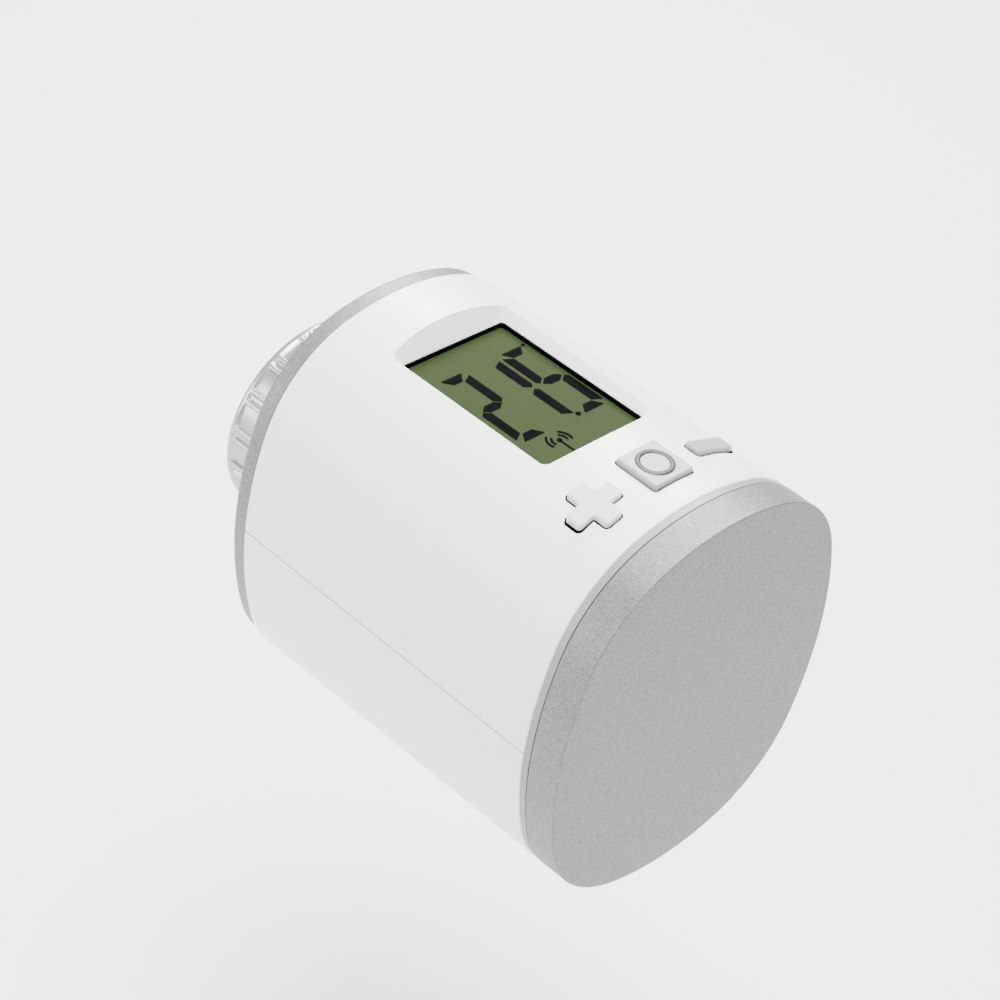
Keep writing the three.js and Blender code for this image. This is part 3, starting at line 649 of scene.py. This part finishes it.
def pocket_surround():
    """The thickened crown that carries the display pocket, kept inside the shell's wall."""
    half = FRAME_HIGH.y + SURROUND_REACH
    foot = BAY_TOP - MM
    spread = [half - 2 * half * i / SURROUND_STEPS for i in range(SURROUND_STEPS + 1)]
    bm = bmesh.new()
    rings = []
    for x in (FRAME_LOW.x - SURROUND_REACH, FRAME_HIGH.x + SURROUND_REACH):
        crest = [Vector((x, y, crown_height(x, y, WALL / 2))) for y in spread]
        rings.append([Vector((x, half, foot)), *crest, Vector((x, -half, foot))])
    loft(bm, rings)
    return new_object("surround", bm)


def display_bay():
    """The room that the display frame stands in, cut into the surround from below."""
    low, high = FRAME_LOW, FRAME_HIGH
    outline = rounded_rectangle((low.x + high.x) / 2, 0, (high.x - low.x) / 2 + BAY_GAP,
                                high.y + BAY_GAP, BAY_GAP)
    return prism("bay", outline, BAY_BOTTOM, BAY_TOP)


KEYS = {"plus": "pale_button", "select": "grey_button", "minus": "grey_button"}
PLUS_ARM = 2.9 * MM
PLUS_TIP = 0.55 * MM
PLUS_INNER = 0.3 * MM
PLUS_STEPS = 5
KEY_CORNER = 0.45 * MM
KEY_GAP = 0.24 * MM              # less than PLUS_INNER, or the hole's outline crosses itself


def key_outline(kind, grow=0.0):
    """A key's outline in X and Y with small round corners, from its CAD node's box."""
    low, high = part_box(f"{kind}_button")
    cx, cy = (low.x + high.x) / 2, (low.y + high.y) / 2
    if kind == "plus":
        arm = (high.y - low.y) / 2
        return plus_outline(cx, cy, arm, PLUS_ARM / 2, grow)
    half_y = (high.y - low.y) / 2
    half_x = half_y if kind == "select" else PLUS_ARM / 2
    return rounded_rectangle(cx, cy, half_x + grow, half_y + grow, KEY_CORNER + grow)


def fillet(x, y, radius, start, sweep):
    """Points of a small round corner with its centre at x, y."""
    turns = [start + sweep * i / PLUS_STEPS for i in range(PLUS_STEPS + 1)]
    return [Vector((x + radius * math.cos(t), y + radius * math.sin(t))) for t in turns]


def plus_outline(cx, cy, arm, half, grow):
    """A cross with rounded arm ends and slightly rounded inner corners."""
    quarter = math.pi / 2
    inner = half + PLUS_INNER
    corner = [*fillet(arm - PLUS_TIP, half - PLUS_TIP, PLUS_TIP, 0, quarter),
              *fillet(inner, inner, PLUS_INNER, -quarter, -quarter),
              *fillet(half - PLUS_TIP, arm - PLUS_TIP, PLUS_TIP, 0, quarter)]
    points = []
    for quadrant in range(4):
        turn = Matrix.Rotation(quarter * quadrant, 2)
        points += [turn @ p for p in corner]
    outline = [(cx + p.x, cy + p.y) for p in points]
    return offset_outline(outline, grow) if grow else outline


def upper_shell():
    """The white shell with the flared display pocket and the key holes."""
    shell = half_shell("shell_top", 1)
    boolean(shell, pocket_surround(), "UNION")
    boolean(shell, display_bay(), "DIFFERENCE")
    bm = bmesh.new()
    rings = []
    for level in range(FLARE_LEVELS):
        z = OPENING_Z + FLARE_RISE * level
        rings.append([Vector((x, y, z)) for x, y in opening_outline(level)])
    loft(bm, rings)
    boolean(shell, new_object("pocket", bm), "DIFFERENCE")
    boolean(shell, prism("opening", opening_outline(), BAY_TOP - CUT_BELOW,
                         OPENING_Z + CUT_ABOVE), "DIFFERENCE")
    for kind in KEYS:
        hole = prism("hole", key_outline(kind, KEY_GAP), HOLE_BOTTOM, HOLE_TOP)
        boolean(shell, hole, "DIFFERENCE")
    soften(shell, CUT_EDGE, CUT_STEPS)
    finish_piece(shell, "head", "white_shell", MATERIALS["white_shell"], "upper_shell")


def battery_cover():
    """The lower shell, which pulls off the batteries."""
    cover = half_shell("shell_bottom", -1)
    soften(cover, CUT_EDGE, CUT_STEPS)
    finish_piece(cover, "cover", "white_shell", MATERIALS["white_shell"], "battery_cover")


LIP_WIDTH = 1.0 * MM
LIP_INSET = 0.12 * MM
LIP_REACH = 0.25 * MM            # of the lip into the gap towards the shells
LIP_GROOVE = 0.16 * MM
LIP_CHAMFER = 0.1 * MM
LIP_STEP = 0.35 * MM
LIP_TUCK = 0.3 * MM              # of the lip into the cap
LIP_DEPTH = WALL - 0.2 * MM
CAP_EDGE = 0.2 * MM


def end_cap():
    """The closed silver cap and the narrow light lip between it and the shells."""
    start = CAP_LOW.x + LIP_WIDTH
    bm = bmesh.new()
    rings = [section(CAP_HIGH.x - WALL, WALL), section(start, WALL)]
    rings += edge_rings(start, 1, CAP_EDGE)
    rings += edge_rings(CAP_HIGH.x, -1, CAP_EDGE)[::-1]
    loft(bm, rings)
    cap = smooth(new_object("cap_silver", bm), angle=50)
    finish_piece(cap, "head", "silver_paint", MATERIALS["silver_paint"], "end_cap")
    low = CAP_LOW.x - LIP_REACH
    groove, tuck, step = start - LIP_GROOVE, start + LIP_TUCK, LIP_INSET + LIP_STEP
    bm = bmesh.new()
    loft(bm, [section(low, LIP_INSET + LIP_CHAMFER), section(low + LIP_CHAMFER, LIP_INSET),
              section(groove, LIP_INSET), section(groove, step), section(tuck, step),
              section(tuck, LIP_DEPTH), section(low, LIP_DEPTH)], closed=True)
    lip = smooth(new_object("cap_lip", bm))
    finish_piece(lip, "head", "silver_paint", MATERIALS["lip"], "end_cap")


def circle(x, radius, steps=96, y=0.0, z=0.0):
    """A ring of points round an axis along X."""
    turns = [2 * math.pi * i / steps for i in range(steps)]
    return [Vector((x, y + radius * math.cos(t), z + radius * math.sin(t))) for t in turns]


RING_HOLE = 17.2 * MM
RING_INSET = 0.5 * MM
RING_EDGE = 0.5 * MM
RING_BACK_EDGE = 0.15 * MM
RING_HOLE_EDGE = 0.12 * MM


def base_ring():
    """The silver ring at the valve end, with the round hole for the neck's boss."""
    bm = bmesh.new()
    loft(bm, edge_rings(RING_LOW.x, 1, RING_EDGE, RING_INSET)
         + edge_rings(RING_HIGH.x, -1, RING_BACK_EDGE, RING_INSET)[::-1])
    ring = new_object("ring_silver", bm)
    bm = bmesh.new()
    loft(bm, [circle(RING_LOW.x - MM, RING_HOLE), circle(RING_HIGH.x + MM, RING_HOLE)])
    boolean(ring, new_object("hole", bm), "DIFFERENCE")
    soften(ring, RING_HOLE_EDGE)
    finish_piece(ring, "head", "silver_paint", MATERIALS["silver_paint"], "base_ring")


# ------------------------------------------------------------------ union nut

RIB_PAIRS = 16
RIB_SPREAD = 1.9 * MM
RIB_REACH = 0.7 * MM * 0.75      # from a rib's middle to its foot
RIB_POWER = 4                    # the higher, the squarer the ribs
STEPS_PER_PAIR = 40
NUT_BODY = 16.25 * MM
NUT_RADIUS = NUT_HIGH.z - 0.02 * MM
NUT_RIM = 1.0 * MM
NUT_SLOPE = 0.7 * MM
THREAD_MINOR = 14.2 * MM
THREAD_DEPTH = 0.75 * MM
THREAD_ROOT = THREAD_MINOR + THREAD_DEPTH * 0.6
THREAD_PITCH = 1.5 * MM
THREAD_CREST = 0.2 * MM
THREAD_MARGIN = 2 * MM           # without thread at the nut's mouth
LIP_START = 11.5 * MM            # of the inner lip that the wire ring holds
LIP_HOLE = 12.4 * MM


def nut_radius(angle):
    """Outer radius round the nut: a round body with pairs of thin round-topped ribs."""
    step = 2 * math.pi / RIB_PAIRS
    offset = (angle / step) % 1.0 - 0.5
    distance = abs(abs(offset * step * NUT_RADIUS) - RIB_SPREAD / 2)
    lift = max(0.0, 1 - (distance / RIB_REACH) ** RIB_POWER)
    return NUT_BODY + (NUT_RADIUS - NUT_BODY) * lift


def ribbed_ring(x, drop):
    """A ring that follows the ribs, drop metres below them."""
    steps = RIB_PAIRS * STEPS_PER_PAIR
    points = []
    for i in range(steps):
        turn = 2 * math.pi * i / steps
        radius = nut_radius(turn) - drop
        points.append(Vector((x, radius * math.cos(turn), radius * math.sin(turn))))
    return points


def thread_profile():
    """(x, radius) points of the nut's inside, from its back lip to its open end."""
    end = NUT_HIGH.x
    profile = [(end, LIP_HOLE + 0.3 * MM), (end - 0.3 * MM, LIP_HOLE), (LIP_START, LIP_HOLE),
               (LIP_START, THREAD_MINOR + THREAD_DEPTH * 0.2)]
    for i in range(int((LIP_START - THREAD_MARGIN) / THREAD_PITCH)):
        x = LIP_START - 1.2 * MM - i * THREAD_PITCH
        root = x - THREAD_PITCH / 2
        profile += [(x, THREAD_MINOR), (x - THREAD_CREST, THREAD_MINOR),
                    (root - 0.05 * MM, THREAD_ROOT), (root - THREAD_CREST, THREAD_ROOT)]
    return profile + [(0.9 * MM, THREAD_MINOR), (0.0, THREAD_MINOR + 0.6 * MM)]


def union_nut():
    """The ribbed nut with a plain rim, and its thread as separate round grooves."""
    steps = RIB_PAIRS * STEPS_PER_PAIR
    rim = [(0.0, NUT_RADIUS - 0.4 * MM), (0.15 * MM, NUT_RADIUS - 0.12 * MM),
           (0.4 * MM, NUT_RADIUS), (NUT_RIM - 0.15 * MM, NUT_RADIUS),
           (NUT_RIM, NUT_RADIUS - 0.04 * MM)]
    end = NUT_HIGH.x
    rings = [circle(x, radius, steps) for x, radius in rim]
    for x, drop in ((NUT_RIM + NUT_SLOPE, 0.0), (end - 0.4 * MM, 0.0), (end, 0.35 * MM)):
        rings.append(ribbed_ring(x, drop))
    rings += [circle(x, radius, steps) for x, radius in thread_profile()]
    bm = bmesh.new()
    loft(bm, rings, closed=True)
    nut = smooth(new_object("nut_ribbed", bm), angle=40)
    finish_piece(nut, "nut", "nut_metal", MATERIALS["nut_metal"], "union_nut")


# ------------------------------------------------------------------ keys

KEY_PROUD = 0.82 * MM
KEY_ROUND = 0.3 * MM
KEY_STEPS = 5
SKIRT_DROP = 3.4 * MM
SKIRT_SLOPE = 0.12


def key(kind, slot):
    """A key whose top follows the crown, with rounded edges and a skirt below."""
    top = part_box(f"{kind}_button")[1].z
    outline = key_outline(kind)
    rings = [[Vector((x, y, top - SKIRT_DROP - abs(y) * SKIRT_SLOPE)) for x, y in outline]]
    for i in range(KEY_STEPS + 1):
        turn = math.pi / 2 * i / KEY_STEPS
        inner = offset_outline(outline, -KEY_ROUND * (1 - math.cos(turn))) if i else outline
        drop = KEY_ROUND * (1 - math.sin(turn)) - KEY_PROUD
        rings.append([Vector((x, y, crown_height(x, y) - drop)) for x, y in inner])
    bm = bmesh.new()
    loft(bm, rings, ends=False)
    bmesh.ops.holes_fill(bm, edges=[e for e in bm.edges if e.is_boundary], sides=0)
    cap = smooth(new_object(f"{kind}_key_cap", bm), angle=40)
    finish_piece(cap, f"{kind}_key", slot, MATERIALS[slot], f"{kind}_button")


# painted shade: a matt black collar in each key's gap, where the gap lies in shadow
SHADE_COLLAR_WIDTH = 0.2 * MM
SHADE_COLLAR_DROP = 0.04 * MM
SHADE_COLLAR_DEPTH = 1.8 * MM
SHADE_COLLAR_PLAY = 0.01 * MM


def key_shade_collar(kind):
    """A dark collar round a key, just inside the shell's hole: painted shade for the shadow in the
    gap round the key.
    """
    outside = key_outline(kind, KEY_GAP - SHADE_COLLAR_PLAY)
    inside = key_outline(kind, KEY_GAP - SHADE_COLLAR_WIDTH)
    bm = bmesh.new()
    rings = []
    for outline, drop in ((outside, SHADE_COLLAR_DEPTH), (outside, SHADE_COLLAR_DROP), (inside, SHADE_COLLAR_DROP),
                          (inside, SHADE_COLLAR_DEPTH)):
        rings.append([Vector((x, y, crown_height(x, y) - drop)) for x, y in outline])
    loft(bm, rings, closed=True)
    shade_collar_piece = smooth(new_object(f"{kind}_key_shade_collar", bm), angle=40)
    finish_piece(shade_collar_piece, "head", "black_plastic", MATERIALS["black_rim_and_painted_shade"])


MARK_OUTER = 2.85 * MM
MARK_INNER = 2.08 * MM
MARK_EDGE = 0.06 * MM
MARK_LIFT = 0.02 * MM
MARK_STEPS = 72


def select_ring():
    """The ring printed on the middle key, lying on its crown."""
    low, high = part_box("select_button")
    cx, cy = (low.x + high.x) / 2, (low.y + high.y) / 2
    rings = []
    for radius, lift in ((MARK_OUTER, -MARK_EDGE), (MARK_OUTER - MARK_EDGE, MARK_LIFT),
                         (MARK_INNER + MARK_EDGE, MARK_LIFT), (MARK_INNER, -MARK_EDGE)):
        line = []
        for i in range(MARK_STEPS):
            turn = 2 * math.pi * i / MARK_STEPS
            x, y = cx + radius * math.cos(turn), cy + radius * math.sin(turn)
            line.append(Vector((x, y, crown_height(x, y) + KEY_PROUD + lift)))
        rings.append(line)
    bm = bmesh.new()
    loft(bm, rings, closed=True)
    ring = smooth(new_object("select_key_ring", bm), angle=60)
    finish_piece(ring, "select_key", "grey_button", MATERIALS["button_print"])


# ------------------------------------------------------------------ display

GLYPH_LIFT = 0.06 * MM
GLYPH_THICKNESS = 0.04 * MM
DIGIT_WIDTH = 5.35 * MM
DIGIT_HEIGHT = 17.1 * MM
DIGIT_PITCH = 6.05 * MM
DIGIT_START = 5.5 * MM           # from the opening's valve end to the digits' upper edge
FIRST_DIGIT = 2.2 * MM           # from the opening's side to the first digit
STROKE = 1.55 * MM
STROKE_GAP = 0.24 * MM
STROKE_CUT = 0.72 * MM           # of each digit's outer corners
SEGMENTS_OF = {"1": "bc", "2": "abged", "5": "afgcd"}
POINT_PLACE = 1.96               # in digit pitches
POINT_RISE = 0.4 * MM
DOT_RADIUS = 0.42 * MM
DEGREE_PLACE = 2.85              # in digit pitches
DEGREE_RADIUS = 0.3 * MM


def segment_polygons(w, h, t, g, c):
    """The seven bars of a digit: right and down coordinates from its upper left corner.

    Width, height, bar thickness, how far bars end before a joint, and cut of the corners.
    """
    m = h / 2
    top = [(c, 0), (w - c, 0), (w - t - g, t), (t + g, t)]
    right = [(w, c + g), (w, m - t / 2), (w - t / 3, m - g), (w - t, m - t / 2 - g),
             (w - t, t + g)]
    middle = [(t / 3 + g, m), (t + g, m - t / 2), (w - t - g, m - t / 2),
              (w - t / 3 - g, m), (w - t - g, m + t / 2), (t + g, m + t / 2)]

    def flipped(polygon):
        return [(w - a, b) for a, b in polygon]

    def dropped(polygon):
        return [(a, h - b) for a, b in polygon]

    return {"a": top, "b": right, "c": dropped(right), "d": dropped(top),
            "e": dropped(flipped(right)), "f": flipped(right), "g": middle}


def display_point(across, down):
    """A place on the display from its offsets from the opening's -Y side and its valve end."""
    return Vector((OPENING_START + down, across - OPENING_HALF, LCD_HIGH.z))


def flat_glyph(bm, points):
    """A thin plate on the display from its outline."""
    low = [bm.verts.new(p + Vector((0, 0, GLYPH_LIFT))) for p in points]
    high = [bm.verts.new(p + Vector((0, 0, GLYPH_LIFT + GLYPH_THICKNESS))) for p in points]
    bm.faces.new(low[::-1])
    bm.faces.new(high)
    for i in range(len(points)):
        j = (i + 1) % len(points)
        bm.faces.new((low[i], low[j], high[j], high[i]))


def disc(centre, radius, steps=20):
    """Outline of a round dot."""
    turns = [2 * math.pi * i / steps for i in range(steps)]
    return [centre + Vector((radius * math.sin(t), radius * math.cos(t), 0)) for t in turns]


def arc_band(centre, radius, width, start, end, steps=10):
    """Outline of a bent bar round a centre; angles grow from +Y towards the valve."""
    turns = [start + (end - start) * i / steps for i in range(steps + 1)]
    outline = []
    for reach, order in ((radius + width / 2, turns), (radius - width / 2, turns[::-1])):
        outline += [centre + Vector((-reach * math.sin(t), reach * math.cos(t), 0))
                    for t in order]
    return outline


BALL_PLACE = (7.3 * MM, 25.15 * MM)   # across and down, of the radio sign's centre
MAST_LENGTH = 3.0 * MM
MAST_WIDTH = 0.30 * MM
WAVE_RADII = (1.2 * MM, 1.95 * MM)
WAVE_WIDTH = 0.34 * MM
WAVE_TILT, WAVE_REACH = 0.3, 0.68


def display_figures():
    """A room temperature in seven-bar figures, with a degree mark and a radio sign."""
    bm = bmesh.new()
    bars = segment_polygons(DIGIT_WIDTH, DIGIT_HEIGHT, STROKE, STROKE_GAP, STROKE_CUT)
    for place, digit in enumerate("215"):
        corner = display_point(FIRST_DIGIT + place * DIGIT_PITCH, DIGIT_START)
        for bar in SEGMENTS_OF[digit]:
            flat_glyph(bm, [corner + Vector((down, right, 0)) for right, down in bars[bar]])
    point_x = DIGIT_START + DIGIT_HEIGHT - POINT_RISE
    point = display_point(FIRST_DIGIT + POINT_PLACE * DIGIT_PITCH, point_x)
    flat_glyph(bm, disc(point, DOT_RADIUS))
    degree = display_point(FIRST_DIGIT + DEGREE_PLACE * DIGIT_PITCH, DIGIT_START)
    flat_glyph(bm, disc(degree, DEGREE_RADIUS))
    ball = display_point(*BALL_PLACE)
    flat_glyph(bm, disc(ball, DOT_RADIUS))
    mast = MAST_WIDTH / 2
    flat_glyph(bm, [ball + Vector((down, side, 0)) for down, side in (
        (0, -mast), (0, mast), (MAST_LENGTH, mast), (MAST_LENGTH, -mast))])
    for radius in WAVE_RADII:
        for side in (WAVE_TILT, math.pi - WAVE_TILT):
            flat_glyph(bm, arc_band(ball, radius, WAVE_WIDTH, side - WAVE_REACH,
                                    side + WAVE_REACH))
    glyphs = new_object("display_figures", bm)
    finish_piece(glyphs, "head", "lcd", MATERIALS["segments"])


PANEL_CORNER = 0.4 * MM
PANEL_EDGE = 0.1 * MM


def display_panel():
    """The display's glass."""
    low, high = LCD_LOW, LCD_HIGH
    outline = rounded_rectangle((low.x + high.x) / 2, 0, (high.x - low.x) / 2, high.y,
                                PANEL_CORNER)
    panel = soften(prism("display_panel", outline, low.z, high.z), PANEL_EDGE)
    finish_piece(panel, "head", "lcd", MATERIALS["lcd"], "lcd_glass")


# the liner's black is partly the display's black border and partly painted shade on the opening's
# walls
LINER_GAP = 0.04 * MM
LINER_WALL = 0.25 * MM
LINER_TOP = OPENING_Z - 0.12 * MM
LINER_BOTTOM = LCD_HIGH.z + 0.03 * MM


def display_shade_liner():
    """The dark rim between the shell's opening and the display: partly the display's black border,
    partly painted shade for the shadow on the opening's walls.
    """
    inner = LINER_GAP + LINER_WALL
    bm = bmesh.new()
    rings = [[Vector((x, y, z)) for x, y in opening_outline(0, inward)]
             for inward, z in ((LINER_GAP, LINER_BOTTOM), (LINER_GAP, LINER_TOP),
                               (inner, LINER_TOP), (inner, LINER_BOTTOM))]
    loft(bm, rings, closed=True)
    liner = smooth(new_object("display_shade_liner", bm), angle=40)
    finish_piece(liner, "head", "black_plastic", MATERIALS["black_rim_and_painted_shade"])


# ------------------------------------------------------------------ inside pieces

MERGE_DISTANCE = 0.001 * MM
FLAT_ANGLE = 1.0
BEVEL_ANGLE = 35
SHADE_ANGLE = 38


def refined(node, body, slot, width):
    """A CAD part's own shape with its facets joined, edges rounded and faces smooth."""
    bm = bmesh.new()
    bm.from_mesh(frame["nodes"][node].data)
    bmesh.ops.remove_doubles(bm, verts=bm.verts, dist=MERGE_DISTANCE)
    bmesh.ops.dissolve_limit(bm, angle_limit=math.radians(FLAT_ANGLE), verts=bm.verts,
                             edges=bm.edges)
    piece = new_object(f"{node}_piece", bm)
    round_edges(piece, width, BEVEL_ANGLE)
    smooth(piece, SHADE_ANGLE)
    finish_piece(piece, body, slot, MATERIALS[slot], node)


# each piece's edge width in millimetres
REFINED = {
    "base_plate": 0.12, "retaining_ring": 0.1, "plunger": 0.25, "gearbox_housing": 0.15,
    "gearbox_cover": 0.15, "motor": 0.3, "chassis": 0.2, "lcd_frame": 0.1, "circuit_board": 0.08,
    "microcontroller": 0.12, "radio_module": 0.25, "zebra_strip": 0.15, "contact_plate_1": 0.08,
    "contact_plate_2": 0.08, "bridge_contact": 0.08, "spindle_gear": 0.05,
    "reduction_gear_1": 0.05, "reduction_gear_2": 0.05, "motor_pinion": 0.05,
    "gear_shaft_1": 0.1, "gear_shaft_2": 0.1,
}
REFINED.update({f"board_screw_{i}": 0.1 for i in range(1, 5)})
REFINED.update({f"gearbox_screw_{i}": 0.1 for i in range(1, 4)})
for kind in KEYS:
    REFINED.update({f"{kind}_switch": 0.12, f"{kind}_switch_stem": 0.12})


def inside_pieces():
    """All CAD parts that keep their own shape, on the bodies and slots of the record."""
    body_of = {n: b for b, ns in frame["record"]["behaviour"]["bodies"].items() for n in ns}
    slot_of = {s["node"]: s["material_slot"] for s in frame["record"]["subparts"]}
    for node, width in REFINED.items():
        refined(node, body_of[node], slot_of[node], width * MM)


def lathe_x(name, profile, y, z, steps=72):
    """Turns (x, radius) points round an axis along X, from near the axis back to it."""
    bm = bmesh.new()
    loft(bm, [circle(x, radius, steps, y, z) for x, radius in profile])
    return new_object(name, bm)


BATTERY_NUB = 1.0 * MM
SLEEVE_RIM = 1.2 * MM            # of the sleeve on the end faces; inside it the metal is bare


def battery(number):
    """A cylindrical cell: sleeve with rolled shoulders, plus nub and crimped end."""
    low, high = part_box(f"battery_{number}")
    y, z = (low.y + high.y) / 2, (low.z + high.z) / 2
    radius = (high.z - low.z) / 2
    length = high.x - low.x
    top = length - BATTERY_NUB
    outline = [(0, 3.6 * MM), (0.0, radius - 1.5 * MM), (0.05 * MM, radius - 0.8 * MM),
               (0.35 * MM, radius - 0.15 * MM), (0.8 * MM, radius), (top - 0.9 * MM, radius),
               (top - 0.35 * MM, radius - 0.15 * MM), (top - 0.02 * MM, radius - 0.8 * MM),
               (top, radius - 1.6 * MM), (top - 0.4 * MM, radius - 1.8 * MM),
               (top - 0.4 * MM, 3.2 * MM), (top, 2.75 * MM),
               (length - 0.2 * MM, 2.6 * MM), (length, 2.35 * MM)]
    if number == 1:
        profile = [(low.x + x, r) for x, r in outline]
    else:
        profile = [(high.x - x, r) for x, r in outline]
    cell = smooth(lathe_x(f"cell_{number}", profile, y, z), angle=40)
    finish_piece(cell, "head", "battery_label", MATERIALS["battery_label"], f"battery_{number}")
    cell.data.materials.append(MATERIALS["spring_steel"])
    for face in cell.data.polygons:
        if math.hypot(face.center.y - y, face.center.z - z) < radius - SLEEVE_RIM:
            face.material_index = 1


WIRE = 0.28 * MM                 # the spring wire's radius
COIL_TURNS = 2.75
COIL_STEPS = 150
WIRE_SIDES = 12
COIL_TAPER = 1.7 * MM
CLOSED_END = 0.08                # share of the wire at each end that doesn't climb


def coil_spring(number):
    """A conical wire spring with closed end turns."""
    low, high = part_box(f"battery_spring_{number}")
    y, z = (low.y + high.y) / 2, (low.z + high.z) / 2
    start, end = low.x + WIRE, high.x - WIRE
    if number == 2:
        start, end = end, start
    rings = []
    for i in range(COIL_STEPS + 1):
        t = i / COIL_STEPS
        angle = 2 * math.pi * COIL_TURNS * t
        radius = (high.z - low.z) / 2 - WIRE - COIL_TAPER * t
        climb = min(1.0, max(0.0, (t - CLOSED_END) / (1 - 2 * CLOSED_END)))
        outward = Vector((0, math.cos(angle), math.sin(angle)))
        centre = Vector((start + (end - start) * climb, y, z)) + radius * outward
        ring = []
        for k in range(WIRE_SIDES):
            phase = 2 * math.pi * k / WIRE_SIDES
            across = outward * math.cos(phase) + Vector((1, 0, 0)) * math.sin(phase)
            ring.append(centre + WIRE * across)
        rings.append(ring)
    bm = bmesh.new()
    loft(bm, rings)
    spring = smooth(new_object(f"coil_{number}", bm), angle=50)
    finish_piece(spring, "head", "spring_steel", MATERIALS["spring_steel"],
                 f"battery_spring_{number}")


# ------------------------------------------------------------------ assembly

make_camera()
make_world()
for lamp in LAMPS:
    area_light(*lamp)
make_floor()
upper_shell()
battery_cover()
end_cap()
base_ring()
union_nut()
for kind, slot in KEYS.items():
    key(kind, slot)
for kind in KEYS:
    key_shade_collar(kind)
select_ring()
display_panel()
display_shade_liner()
display_figures()
inside_pieces()
for number in (1, 2):
    battery(number)
    coil_spring(number)
